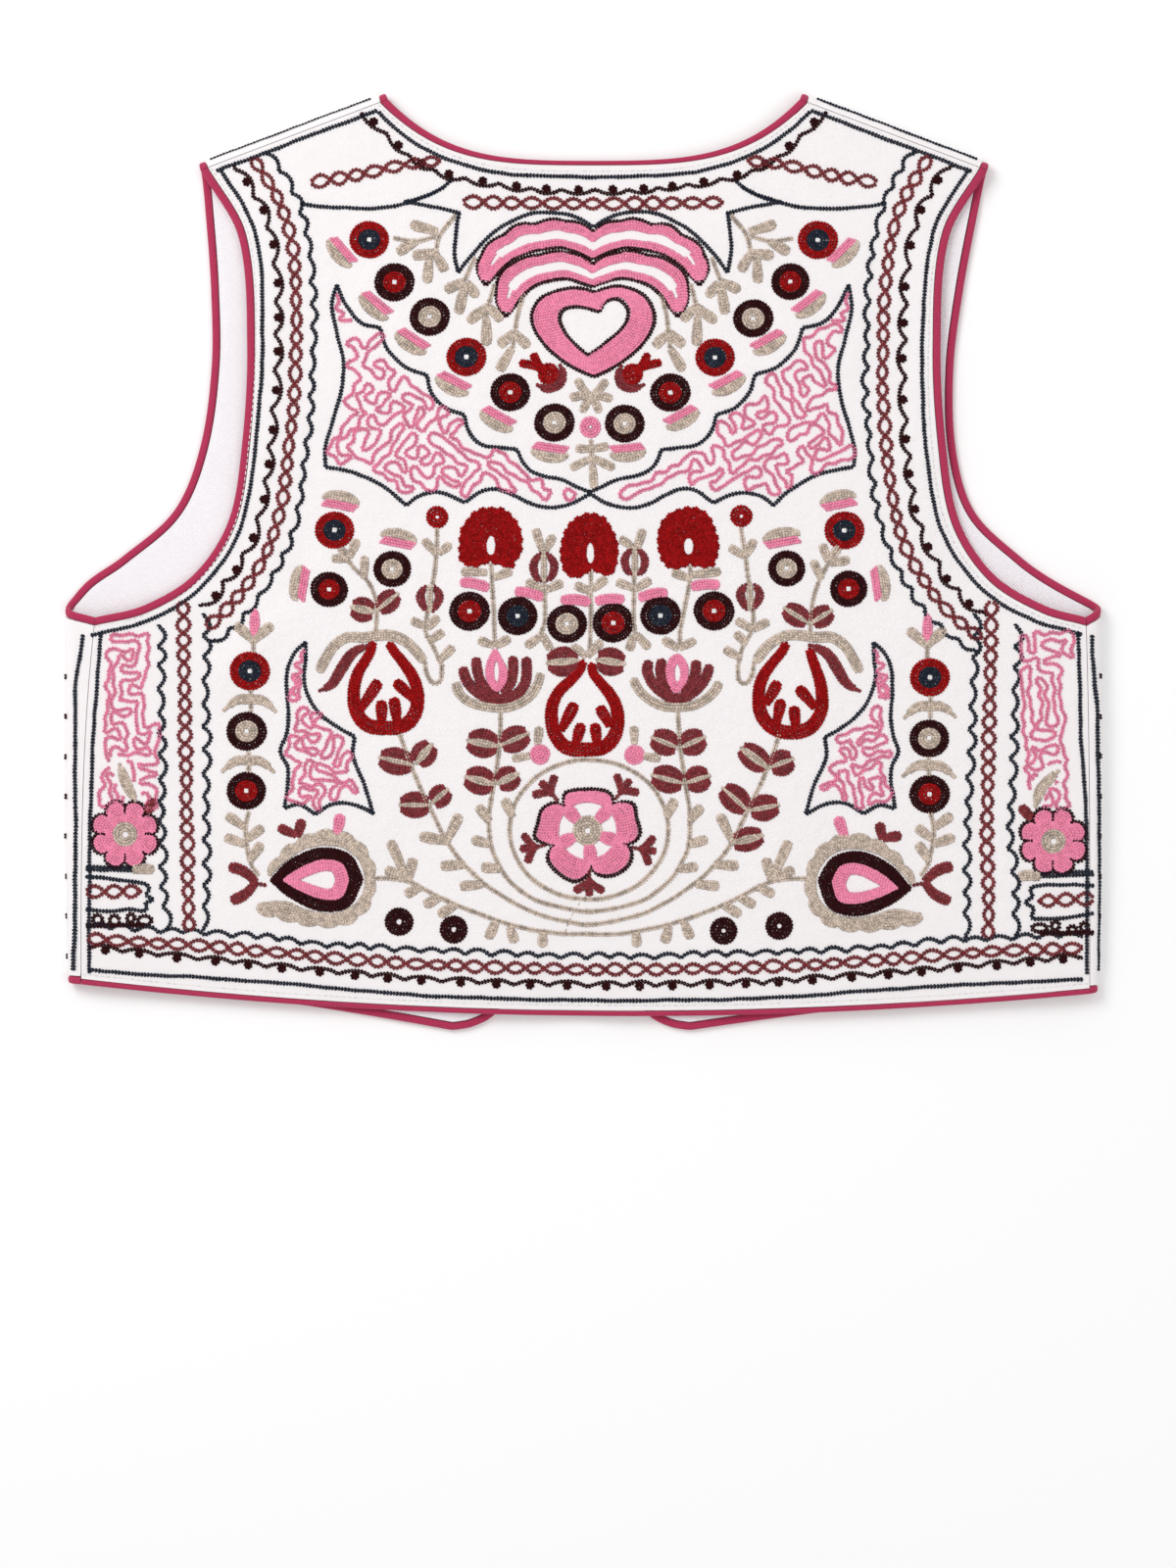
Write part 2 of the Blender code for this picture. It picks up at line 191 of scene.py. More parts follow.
def front_centre(y):
    return FRONT_CENTRE_LOW + (BACK_CENTRE - FRONT_CENTRE_LOW) * np.clip(y / LEAN_TOP_Y, 0.0, 1.0)


def unit(way):
    return way / np.hypot(*way)


def shoulder(side):
    """The point by the neck where a shoulder fold starts to turn, the way along the fold and the way out over it."""
    neck = np.array((BACK_CENTRE + side * SHOULDER_NECK[0], SHOULDER_NECK[1]))
    tip = np.array((BACK_CENTRE + side * SHOULDER_TIP[0], SHOULDER_TIP[1]))
    along = unit(tip - neck)
    out = np.array((-along[1], along[0])) * side
    return neck - out * (SHOULDER_FOLD + WALL / 2), along, out


def shoulder_seam(side, half):
    """The point of the back's shoulder seam that is this far out from the centre line."""
    start, along, out = shoulder(side)
    start = start - out * GAP
    return start + along * ((BACK_CENTRE + side * half - start[0]) / along[0])


def distance_to(points, line):
    """Each point's distance from a line of points."""
    starts, runs = line[:-1], np.diff(line, axis=0)
    squares = np.maximum((runs**2).sum(1), 1e-18)
    found = []
    for part in np.array_split(points, max(1, len(points) // 1500)):
        away = part[:, None] - starts
        share = np.clip((away * runs).sum(2) / squares, 0, 1)
        found.append(np.sqrt((((away - runs * share[..., None])) ** 2).sum(2).min(1)))
    return np.concatenate(found)


def top_height(points):
    """Height of the middle of the upper layer."""
    x, y = points[:, 0], points[:, 1]
    from_side = np.hypot(np.maximum(bend_x(y) - abs(x), 0), np.maximum(y - UNDERARM_Y, 0))
    side = np.exp(-((from_side / SIDE_SWELL) ** 2))
    from_top = np.empty(len(points))
    for way in (-1, 1):
        here = (x > BACK_CENTRE) == (way > 0)
        start, along, _ = shoulder(way)
        end = start + along * math.dist(SHOULDER_NECK, SHOULDER_TIP)
        if here.any():
            from_top[here] = distance_to(points[here], np.array((start, end)))
    top = np.exp(-((from_top / SHOULDER_SWELL) ** 2))
    height = BACK_REST + (WALL / 2 + 2 * side_fold(y) - BACK_REST) * side
    height += (WALL / 2 + 2 * SHOULDER_FOLD - BACK_REST) * top
    for centre_x, centre_y, heading, half_length, half_width, rise in RIPPLES:
        turn = math.radians(heading)
        dx, dy = x - centre_x, y - centre_y
        lengthwise = (dx * math.cos(turn) + dy * math.sin(turn)) / half_length
        across = (dy * math.cos(turn) - dx * math.sin(turn)) / half_width
        height += rise * np.exp(-(lengthwise**2) - across**2) * (1 - side) * (1 - top)
    return height


def lay_back(points, rise):
    """Where points of the flat back lie. The rise is outwards from the wall's middle."""
    return np.column_stack((points, top_height(points) + rise))


def shoulders_of(points):
    """For each point of a flat front: its side, and where its shoulder fold starts and the way over it."""
    right = points[:, 0] > 0
    (start_l, _, out_l), (start_r, _, out_r) = shoulder(-1), shoulder(1)
    pick = right[:, None]
    return np.where(right, 1.0, -1.0), np.where(pick, start_r, start_l), np.where(pick, out_r, out_l)


def folds_passed(points):
    """How far each point of a flat front is past the start of its side fold and of its shoulder fold."""
    _, start, out = shoulders_of(points)
    past_side = np.where(points[:, 1] < 0, abs(points[:, 0]) - bend_x(points[:, 1]), -1.0)
    return past_side, ((points - start) * out).sum(1)


def lay_front(points, rise):
    """Where points of a flat front lie. The rise is from the wall's middle, outwards from the vest."""
    rise = np.broadcast_to(rise, len(points))
    sides, _, out = shoulders_of(points)
    past_side, past_shoulder = folds_passed(points)
    by_side = past_side > 0
    past = np.where(by_side, past_side, np.maximum(past_shoulder, 0))
    radius = np.where(by_side, side_fold(points[:, 1]), SHOULDER_FOLD)
    way = np.where(by_side[:, None], np.column_stack((sides, 0 * sides)), out)
    base = points - way * past[:, None]
    angle = np.minimum(past / radius, math.pi)
    reach = radius + rise
    curled = base + way * (reach * np.sin(angle))[:, None]
    laid = base - way * (past - math.pi * radius)[:, None]
    over = past > math.pi * radius
    flat = np.where(over[:, None], laid, curled)
    height = WALL / 2 + radius - reach * np.cos(angle)
    if over.any():
        height[over] = top_height(laid[over]) + rise[over]
    return np.column_stack((flat, height))


def dense(points, step=0.0005):
    """Points along a smooth curve through these points."""
    points = np.asarray(points, float)
    ends = np.vstack((2 * points[0] - points[1], points, 2 * points[-1] - points[-2]))
    parts = []
    for before, start, end, after in zip(ends, ends[1:], ends[2:], ends[3:]):
        span, first, last = (np.hypot(*(b - a)) for a, b in ((start, end), (before, start), (end, after)))
        leave, arrive = (end - before) * span / (span + first), (after - start) * span / (span + last)
        t = np.linspace(0, 1, max(3, round(span / step) + 1))[:-1, None]
        curve = start * (2 * t**3 - 3 * t**2 + 1) + end * (3 * t**2 - 2 * t**3)
        parts.append(curve + leave * (t**3 - 2 * t**2 + t) + arrive * (t**3 - t**2))
    return np.vstack((*parts, points[-1:]))


def walked(line):
    """How far along the line each of its points is."""
    return np.concatenate(([0], np.cumsum(np.hypot(*np.diff(line, axis=0).T))))


def count_of(line, number):
    """The line as this many points at even steps, with both ends kept."""
    along = walked(line)
    at = np.linspace(0, along[-1], number)
    return np.column_stack([np.interp(at, along, line[:, i]) for i in (0, 1)])


def spaced(line, step):
    """The line as points at even steps of about this length, with both ends kept."""
    line = np.asarray(line, float)
    return count_of(line, max(2, round(walked(line)[-1] / step) + 1))


def rights(line, first_way=None, last_way=None):
    """The way to the right of the line at each point. At its ends it follows the seams whose ways are given."""
    ahead = np.gradient(line, axis=0)
    right = np.column_stack((ahead[:, 1], -ahead[:, 0])) / np.hypot(*ahead.T)[:, None]
    for i, way in ((0, first_way), (-1, last_way)):
        if way is not None:
            right[i] = way / way.dot(right[i])
    return right


def aside(line, distance, *ways):
    """The line moved to its right, and its ends along the seams whose ways are given."""
    return line + rights(line, *ways) * np.reshape(distance, (-1, 1))


def seam_way(side, y):
    return unit(np.array((seam_x(side, y + SEAM_SPAN) - seam_x(side, y - SEAM_SPAN), 2 * SEAM_SPAN)))


def seam_ways(side):
    """The ways along the seams at the shoulder, the underarm and the hem."""
    return shoulder(side)[1], seam_way(side, UNDERARM_Y), seam_way(side, HEM_SIDE_Y)


def back_edges():
    """The middle lines of the back's bindings, clockwise from the neck, each with the ways of the seams at its ends."""
    share = np.linspace(-1, 1, 401)
    top = shoulder_seam(1, NECK_HALF)[1]
    neck_y = NECK_BOTTOM_Y + (top - NECK_BOTTOM_Y) * abs(share) ** NECK_POWER
    neck = np.column_stack((BACK_CENTRE + share * NECK_HALF, neck_y))
    hem_x = (1 - share) / 2 * seam_x(1, HEM_SIDE_Y) + (1 + share) / 2 * seam_x(-1, HEM_SIDE_Y)
    hem = np.column_stack((hem_x, HEM_SIDE_Y - HEM_DIP * (1 - share**2) + HEM_TILT * share))
    armholes = {}
    for name, side in SIDES.items():
        points = [(BACK_CENTRE + side * half, y) for half, y in BACK_ARMHOLE]
        low = (seam_x(side, UNDERARM_Y), UNDERARM_Y)
        armholes[name] = dense([shoulder_seam(side, ARMHOLE_HALF_TIP), *points, low])
    left, right = seam_ways(-1), seam_ways(1)
    return {
        "neck_back": (spaced(neck, EDGE_STEP), left[0], right[0]),
        "armhole_back_right": (spaced(armholes["right"], EDGE_STEP), right[0], right[1]),
        "hem_back": (spaced(hem, EDGE_STEP), right[2], left[2]),
        "armhole_back_left": (spaced(armholes["left"], EDGE_STEP)[::-1], left[1], left[0]),
    }


def seam_reach(side, y):
    """How far out a flat front reaches to its side seam, at this Y."""
    return 2 * bend_x(y) + math.pi * side_fold(y) - abs(seam_x(side, y)) - GAP


def back_reach(side, y):
    return abs(seam_x(side, y))


def seam_points(side, start_y, end_y, reach):
    """Points along a side seam between two heights. The reach function gives the distance from X = 0."""
    heights = np.linspace(start_y, end_y, round(abs(end_y - start_y) / EDGE_STEP) + 1)[1:-1]
    return np.column_stack((side * reach(side, heights), heights))


def front_edges(side):
    """The middle lines of a front's armhole binding and of its neck, front and hem binding, from shoulder to side."""
    start, along, out = shoulder(side)
    over = out * math.pi * SHOULDER_FOLD

    def placed(points):
        return [(front_centre(y) + side * half, y) for half, y in points]

    def on_fold(half):
        return start + along * (shoulder_seam(side, half) - start).dot(along)

    tip, neck = on_fold(ARMHOLE_HALF_TIP), on_fold(NECK_HALF)
    turn_y = UNDERARM_Y + TURN_LIFT
    turn = (side * (bend_x(turn_y) + side_fold(turn_y) * math.pi / 2), turn_y)
    low = (side * seam_reach(side, UNDERARM_Y), UNDERARM_Y)
    armhole = dense([tip + over, tip, *placed(FRONT_ARMHOLE), turn, low])
    edge = dense([neck + over, neck, *placed(FRONT_EDGE)])
    corner = FRONT_EDGE[-1]
    end = (side * seam_reach(side, HEM_SIDE_Y), HEM_SIDE_Y - side * HEM_TILT)
    hem_end = bend_x(HEM_SIDE_Y) - side * front_centre(HEM_SIDE_Y)
    half = np.linspace(corner[0], hem_end, 301)[1:]
    share = np.clip((half - corner[0]) / FRONT_HEM_RUN, 0, 1)
    hem_y = corner[1] + (end[1] + FRONT_HEM_LIFT - corner[1]) * (1 - (1 - share) ** FRONT_HEM_POWER)
    hem = np.column_stack((front_centre(hem_y) + side * half, hem_y))
    return spaced(armhole, EDGE_STEP), spaced(np.vstack((edge, hem, [end])), EDGE_STEP)


def inside(points, outline):
    odd = np.zeros(len(points), bool)
    x, y = points.T
    for (ax, ay), (bx, by) in zip(outline, np.roll(outline, -1, axis=0)):
        crossed = (ay > y) != (by > y)
        if crossed.any():
            odd[crossed] ^= x[crossed] < ax + (y[crossed] - ay) / (by - ay) * (bx - ax)
    return odd


def lattice(outline, step):
    """Points inside the outline, in staggered rows and clear of its edge."""
    low, high = outline.min(0), outline.max(0)
    row_step = step * math.sqrt(3) / 2
    columns, rows = np.meshgrid(np.arange(low[0], high[0] + step, step), np.arange(low[1], high[1], row_step))
    columns -= (np.arange(len(rows)) % 2)[:, None] * step / 2
    points = np.column_stack((columns.ravel(), rows.ravel()))
    points = points[inside(points, outline)]
    return points[distance_to(points, np.vstack((outline, outline[:1]))) > EDGE_STEP * 0.8]


def fold_lines(side):
    """Lines along a front's folds, so that its wall turns evenly there."""
    start, along, out = shoulder(side)
    y = np.arange(HEM_SIDE_Y - 0.030, UNDERARM_Y + 0.027, FOLD_LINE_STEP)
    lines = []
    for angle in np.linspace(0, math.pi, FOLD_LINES + 1):
        lines.append(np.column_stack((side * (bend_x(y) + angle * side_fold(y)), y)))
        reach = np.arange(-0.04, 0.13, FOLD_LINE_STEP)[:, None]
        lines.append(start + out * angle * SHOULDER_FOLD + along * reach)
    return lines


def cut_sheet(outline, inner, lines=()):
    """Points and triangles of a flat sheet that is cut to the outline and creased along the lines."""
    parts, edges, count = [outline, inner], [], len(outline) + len(inner)
    around = np.vstack((outline, outline[:1]))
    for line in lines:
        kept = line[~inside(line, outline) | (distance_to(line, around) > EDGE_STEP * 0.6)]
        edges += [(count + i, count + i + 1) for i in range(len(kept) - 1)]
        parts.append(kept)
        count += len(kept)
    points = [Vector(p) for p in np.vstack(parts)]
    result = delaunay_2d_cdt(points, edges, [list(range(len(outline)))], 1, 1e-5)
    points, triangles = np.array([tuple(p) for p in result[0]]), np.array([t for t in result[2] if len(t) == 3])
    return points, triangles[inside(points[triangles].mean(1), outline)]


def colour_setting(name, description, colour):
    return bpy.props.FloatVectorProperty(
        name=name, description=description, default=(*colour, 1.0), subtype="COLOR", size=4, min=0.0, max=1.0
    )


class WaistcoatSettings(bpy.types.PropertyGroup):
    cloth: colour_setting("Cloth", "Colour of the back and the fronts", (0.955, 0.910, 0.915))
    lining: colour_setting("Lining", "Colour of the lining", (0.99, 0.935, 0.975))
    binding: colour_setting("Binding", "Colour of the bias bindings", (0.470, 0.036, 0.100))
    navy: colour_setting("Navy yarn", "Colour of the outlines", (0.0185, 0.0242, 0.0395))
    burgundy: colour_setting("Burgundy yarn", "Colour of the plaits and the paired leaves", (0.235, 0.039, 0.046))
    red: colour_setting("Red yarn", "Colour of the carnations and pomegranates", (0.325, 0.0055, 0.0065))
    aubergine: colour_setting("Aubergine yarn", "Colour of the dark rings and vines", (0.032, 0.005, 0.006))
    pink: colour_setting("Pink yarn", "Colour of the heart and the wandering lines", (0.940, 0.300, 0.465))
    taupe: colour_setting("Taupe yarn", "Colour of the stems", (0.600, 0.496, 0.414))
    white: colour_setting("White yarn", "Colour of the white touches and the machine stitching", (0.95, 0.92, 0.92))


class Signal:
    """A value in a material's nodes. Arithmetic on it adds Math nodes."""

    def __init__(self, tree, socket):
        self.tree, self.socket = tree, socket

    def feed(self, socket, value):
        if isinstance(value, Signal):
            self.tree.links.new(value.socket, socket)
        elif value is not None:
            socket.default_value = value

    def add(self, kind, settings, *values, output=0):
        """A new node of this kind with these settings, and the values on its inputs in order."""
        node = self.tree.nodes.new(kind)
        for name, value in settings.items():
            setattr(node, name, value)
        for socket, value in zip([s for s in node.inputs if s.enabled], values):
            self.feed(socket, value)
        outputs = [s for s in node.outputs if s.enabled]
        return Signal(self.tree, outputs[output])

    def maths(self, operation, *values):
        return self.add("ShaderNodeMath", {"operation": operation}, *values)

    def __add__(self, other):
        return self.maths("ADD", self, other)

    def __sub__(self, other):
        return self.maths("SUBTRACT", self, other)

    def __mul__(self, other):
        return self.maths("MULTIPLY", self, other)

    def wave(self):
        return self.maths("SINE", self)

    def mix(self, low, high):
        """The colour between these two at this share."""
        return self.add("ShaderNodeMix", {"data_type": "RGBA", "clamp_factor": True}, self, low, high)

    def noise(self, scale, detail):
        """Noise over a place."""
        return self.add("ShaderNodeTexNoise", {}, self, scale, detail)


class Finish:
    """A new material: its surface node and the place of each point in metres."""

    def __init__(self, name, roughness, sheen=0.0):
        self.material = bpy.data.materials.new(name)
        self.material.use_nodes = True
        tree = self.material.node_tree
        self.surface = tree.nodes["Principled BSDF"]
        self.place = Signal(tree, tree.nodes.new("ShaderNodeTexCoord").outputs["Object"])
        self.surface.inputs["Roughness"].default_value = roughness
        self.surface.inputs["Sheen Weight"].default_value = sheen
        self.surface.inputs["Specular IOR Level"].default_value = 0.1

    def axes(self):
        apart = self.place.add("ShaderNodeSeparateXYZ", {}, self.place)
        outputs = apart.socket.node.outputs
        return [Signal(self.place.tree, outputs[i]) for i in range(3)]

    def attribute(self, name):
        return self.place.add("ShaderNodeAttribute", {"attribute_name": name}, output=2)

    def dress(self, colour, height, depth):
        """Sets the colour, and a bump from this height in units of the depth in metres."""
        self.place.feed(self.surface.inputs["Base Color"], colour)
        bump = self.place.tree.nodes.new("ShaderNodeBump")
        bump.inputs["Strength"].default_value = 1.0
        bump.inputs["Distance"].default_value = depth
        self.place.feed(bump.inputs["Height"], height)
        self.place.feed(self.surface.inputs["Normal"], Signal(self.place.tree, bump.outputs["Normal"]))
        return self.material


def shade(colour, factor):
    return (*(min(1.0, c * factor) for c in colour[:3]), 1.0)


def cloth_material(name, colour, thread, rib, crinkle):
    """A plain woven cloth: threads this far apart, ribs of this weight, and soft crinkles."""
    finish = Finish(name, 0.9, 0.1)
    x, y, _ = finish.axes()
    turn = 2 * math.pi / thread
    warp, weft = (x * turn).wave(), (y * turn).wave()
    slub = finish.place.noise(900.0, 3.0)
    soft = finish.place.noise(150.0, 2.0)
    weave = warp * weft * 0.5 + (x * turn + y * turn).wave() * rib + slub * 1.1
    colour_noise = finish.place.noise(60.0, 4.0)
    share = (weave * 0.22 + 0.45) * 0.6 + colour_noise * 0.4
    return finish.dress(share.mix(shade(colour, 0.93), shade(colour, 1.04)), weave * 0.4 + soft * crinkle, 0.0004)


def binding_material(name, colour):
    """Bias-cut twill: fine ribs across the strip."""
    finish = Finish(name, 0.8, 0.15)
    x, y, _ = finish.axes()
    turn = 2 * math.pi / 0.0009
    ribs = ((x * 0.5 + y * 0.87) * turn).wave()
    pile = finish.place.noise(1300.0, 3.0)
    share = ribs * 0.2 + pile * 0.8 + 0.1
    return finish.dress(share.mix(shade(colour, 0.78), shade(colour, 1.2)), ribs * 0.3 + pile, 0.00035)


def yarn_material(name, colour):
    """Spun yarn. Each stitch has its own tint."""
    finish = Finish(name, 1.0)
    tint = finish.attribute("tint")
    pile = finish.place.noise(1500.0, 3.0)
    share = tint * 0.55 + pile * 1.3 - 0.42
    bright = min(1.42, 1 / max(colour[:3]))
    return finish.dress(share.mix(shade(colour, 1.47 - 0.68 * bright), shade(colour, bright)), pile, 0.0003)


def shared(name, make, *facts):
    """The material of this name, made the first time it is asked for."""
    return bpy.data.materials.get(name) or make(name, *facts)


def show(name, data):
    """A new object in the scene."""
    shown = bpy.data.objects.new(name, data)
    bpy.context.scene.collection.objects.link(shown)
    return shown


def add_piece(name, built, finish, slot, *nodes):
    """A new object from a built mesh. It rides on the garment and stands for these CAD nodes."""
    mesh = bpy.data.meshes.new(name)
    built.to_mesh(mesh)
    built.free()
    mesh.shade_smooth()
    mesh.set_sharp_from_angle(angle=math.radians(50))
    mesh.materials.append(finish)
    piece = show(name, mesh)
    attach(piece, "root")
    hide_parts(*nodes)


def cloth_wall(sheet, low, high, lay):
    """A wall from its low face to its high face, cut flat and laid by the lay function."""
    flat, triangles = sheet
    wall = bmesh.new()
    used = {i: wall.verts.new((*flat[i], low)) for i in np.unique(triangles)}
    for triangle in triangles:
        wall.faces.new([used[i] for i in triangle])
    raised = bmesh.ops.extrude_face_region(wall, geom=wall.faces[:], use_keep_orig=True)
    for made in raised["geom"]:
        if isinstance(made, bmesh.types.BMVert):
            made.co.z = high
    bmesh.ops.recalc_face_normals(wall, faces=wall.faces)
    place = np.array([tuple(v.co) for v in wall.verts])
    for vert, laid in zip(wall.verts, lay(place[:, :2], place[:, 2])):
        vert.co = laid
    if lay is lay_front:
        bmesh.ops.reverse_faces(wall, faces=wall.faces)
    return wall


def binding_width(name, line):
    """Width of a binding along its line. The neck's is narrow in the middle and the back hem's is narrow all along."""
    if name == "neck_back":
        share = np.clip(abs(line[:, 0] - BACK_CENTRE) / NECK_HALF, 0, 1)
        return NECK_BINDING + NECK_WIDENING * share**2
    return np.full(len(line), HEM_BINDING if name == "hem_back" else BINDING_WIDTH)


def binding_strip(name, line, ways, middle, lay):
    """A bias binding round an edge, from a grid that is rolled into a tube along the edge."""
    line = spaced(line, RING_STEP)
    width = binding_width(name, line)
    line = aside(line, (width - BINDING_WIDTH) / 2, *ways)
    strip = bmesh.new()
    bmesh.ops.create_grid(strip, x_segments=RING_SIDES, y_segments=len(line) - 1, size=1)
    across = np.array([v.co.x for v in strip.verts]) / 2 + 0.5
    along = np.rint((np.array([v.co.y for v in strip.verts]) / 2 + 0.5) * (len(line) - 1)).astype(int)
    turn = across * 2 * math.pi
    waist = 1 + 0.05 * np.sin(along * 0.83) + 0.04 * np.sin(along * 0.29 + 1)
    share = np.sign(np.cos(turn)) * abs(np.cos(turn)) ** 0.75
    rise = np.sign(np.sin(turn)) * abs(np.sin(turn)) ** 0.85 * waist
    flat = line[along] + rights(line, *ways)[along] * (share * width[along] / 2)[:, None]
    height = middle + np.clip(rise, -1, 1) * BINDING_DEPTH / 2
    for vert, laid in zip(strip.verts, lay(flat, height)):
        vert.co = laid
    bmesh.ops.remove_doubles(strip, verts=strip.verts, dist=1e-6)
    bmesh.ops.holes_fill(strip, edges=[e for e in strip.edges if e.is_boundary])
    bmesh.ops.recalc_face_normals(strip, faces=strip.faces)
    return strip


def back_outline():
    """The flat back's cut, clockwise from the neck."""
    edges = []
    for name, (line, *ways) in back_edges().items():
        edges.append(aside(line, binding_width(name, line) - BINDING_WIDTH / 2 + GAP, *ways))
    neck, right, hem, left = edges
    down = seam_points(1, right[-1, 1], hem[0, 1], back_reach)
    up = seam_points(-1, hem[-1, 1], left[0, 1], back_reach)
    tops = [spaced(ends, EDGE_STEP)[1:-1] for ends in ((neck[-1], right[0]), (left[-1], neck[0]))]
    return np.vstack((neck, tops[0], right, down, hem, up, left, tops[1]))


def mirrored(way):
    """A way on the upper side of a side fold, as it is on the flat front before that turns over."""
    return np.array((-way[0], way[1]))


def front_outline(side):
    """A flat front's cut, with its edges and the ways of the seams at their ends."""
    armhole, edge = front_edges(side)
    top_way, underarm_way, hem_way = seam_ways(side)
    armhole_ways, edge_ways = (top_way, mirrored(underarm_way)), (top_way, mirrored(hem_way))
    inset = side * (BINDING_WIDTH / 2 + GAP)
    low = aside(armhole, inset, *armhole_ways)
    rim = aside(edge, -inset, *edge_ways)
    seam = seam_points(side, low[-1, 1], rim[-1, 1], seam_reach)
    outline = np.vstack((low, seam, rim[::-1], spaced((rim[0], low[0]), EDGE_STEP)[1:-1]))
    return outline, {"armhole_front": (armhole, armhole_ways), "front": (edge, edge_ways)}


def lining_outline(side):
    """A lining's cut: the front's, without the part that turns over the shoulder."""
    outline, _ = front_outline(side)
    return outline[folds_passed(outline)[1] < -LINING_SHORT]


def front_wall(side, outline, low, high):
    """A front or its lining, creased along the folds and laid out."""
    inner = lattice(outline, FRONT_STEP)
    inner = inner[np.maximum(*folds_passed(inner)) < -FOLD_MARGIN]
    return cloth_wall(cut_sheet(outline, inner, fold_lines(side)), low, high, lay_front)


def settings():
    return bpy.context.scene.waistcoat


class WAISTCOAT_OT_cloth(bpy.types.Operator):
    """Cuts the back and the two fronts and lays them out"""

    bl_idname = "waistcoat.cloth"
    bl_label = "Back and fronts"

    def execute(self, context):
        finish = shared("white_cotton", cloth_material, settings().cloth, 0.0011, 0.35, 1.6)
        outline = back_outline()
        sheet = cut_sheet(outline, lattice(outline, BACK_STEP))
        add_piece("back_cloth", cloth_wall(sheet, -WALL / 2, WALL / 2, lay_back), finish, "cloth", "back")
        for name, side in SIDES.items():
            wall = front_wall(side, front_outline(side)[0], -WALL / 2, WALL / 2)
            add_piece(f"front_{name}_cloth", wall, finish, "cloth", f"front_{name}")
        return {"FINISHED"}


class WAISTCOAT_OT_lining(bpy.types.Operator):
    """Lines the fronts"""

    bl_idname = "waistcoat.lining"
    bl_label = "Front linings"

    def execute(self, context):
        finish = shared("white_lining", cloth_material, settings().lining, 0.0015, 0.8, 1.0)
        for name, side in SIDES.items():
            high = -WALL / 2 - GAP
            wall = front_wall(side, lining_outline(side), high - LINING, high)
            add_piece(f"lining_{name}", wall, finish, "lining", f"lining_front_{name}")
        return {"FINISHED"}


class WAISTCOAT_OT_binding(bpy.types.Operator):
    """Binds every raw edge"""

    bl_idname = "waistcoat.binding"
    bl_label = "Bindings"

    def execute(self, context):
        finish = shared("raspberry_twill", binding_material, settings().binding)
        for name, (line, *ways) in back_edges().items():
            strip = binding_strip(name, line, ways, 0.0, lay_back)
            add_piece("edge_" + name, strip, finish, "binding", "binding_" + name)
        for name, side in SIDES.items():
            for edge, (line, ways) in front_outline(side)[1].items():
                strip = binding_strip(edge, line, ways, WALL / 2 - BINDING_DEPTH / 2, lay_front)
                add_piece(f"edge_{edge}_{name}", strip, finish, "binding", f"binding_{edge}_{name}")
        return {"FINISHED"}


# The embroidery, in millimetres. Kind of stitch: (length, width, height, how far the hand strays)
STITCHES = {
    "chain": (1.5, 1.95, 0.8, 0.22),
    "stem": (1.5, 2.2, 0.8, 0.15),
    "fill": (1.35, 1.5, 0.85, 0.12),
    "satin": (1.3, 1.5, 1.15, 0.1),
    "dash": (2.8, 0.5, 0.3, 0.05),
}
ROW = 1.25  # between rows that fill a shape
FINE = 0.4  # between the points of a curve that is sewn
TWO_TONE = 0.3  # share of a leaf's half width that has its middle's yarn
MOON_REACH = 10.9  # from a rosette's middle to the band beside it
SUNK = 0.00012  # how deep the stitches sit in the cloth, in metres
YARNS = ("navy", "burgundy", "red", "aubergine", "pink", "taupe", "white")


def lean(y):
    """How far the middle of the embroidery lies from the back's centre line at this height."""
    return -0.3 - 1.7 * np.clip((145 - y) / 90, 0, 1)


def strand(path, breadth):
    """One strand of a stitch along this path, from a small sphere. The stitch is 1 long and 1 high."""
    grain = bmesh.new()
    bmesh.ops.create_uvsphere(grain, u_segments=4, v_segments=3, radius=1)
    bmesh.ops.triangulate(grain, faces=grain.faces)
    points = np.array([tuple(v.co) for v in grain.verts])
    triangles = np.array([[v.index for v in f.verts] for f in grain.faces])
    grain.free()
    middle = np.array(path)[np.searchsorted((-0.9, 0, 0.9), points[:, 2])]
    return np.column_stack(
        (middle[:, 0], middle[:, 1] + points[:, 0] * breadth, 0.5 + points[:, 1] * 0.58)
    ), triangles


def stitch_shape(kind):
    """A stitch along +X with its middle at the origin: an open chain link, a slanted one that fills, or a short dash."""
    if kind == "dash":
        return strand(((-0.36, 0), (-0.24, 0), (0.24, 0), (0.36, 0)), 0.7)
    if kind in ("fill", "satin"):
        return strand(((-0.62, -0.10), (-0.28, -0.05), (0.30, 0.05), (0.66, 0.10)), 0.62)
    half, triangles = strand(((-0.56, 0.02), (-0.20, 0.25), (0.26, 0.29), (0.64, 0.05)), 0.29)
    other = half * (1, -1, 1)
    return np.vstack((half, other)), np.vstack((triangles, triangles[:, ::-1] + len(half)))


def spin(turn):
    """The matrix that turns points by this many degrees, anticlockwise."""
    angle = math.radians(turn)
    return np.array(((math.cos(angle), math.sin(angle)), (-math.sin(angle), math.cos(angle))))


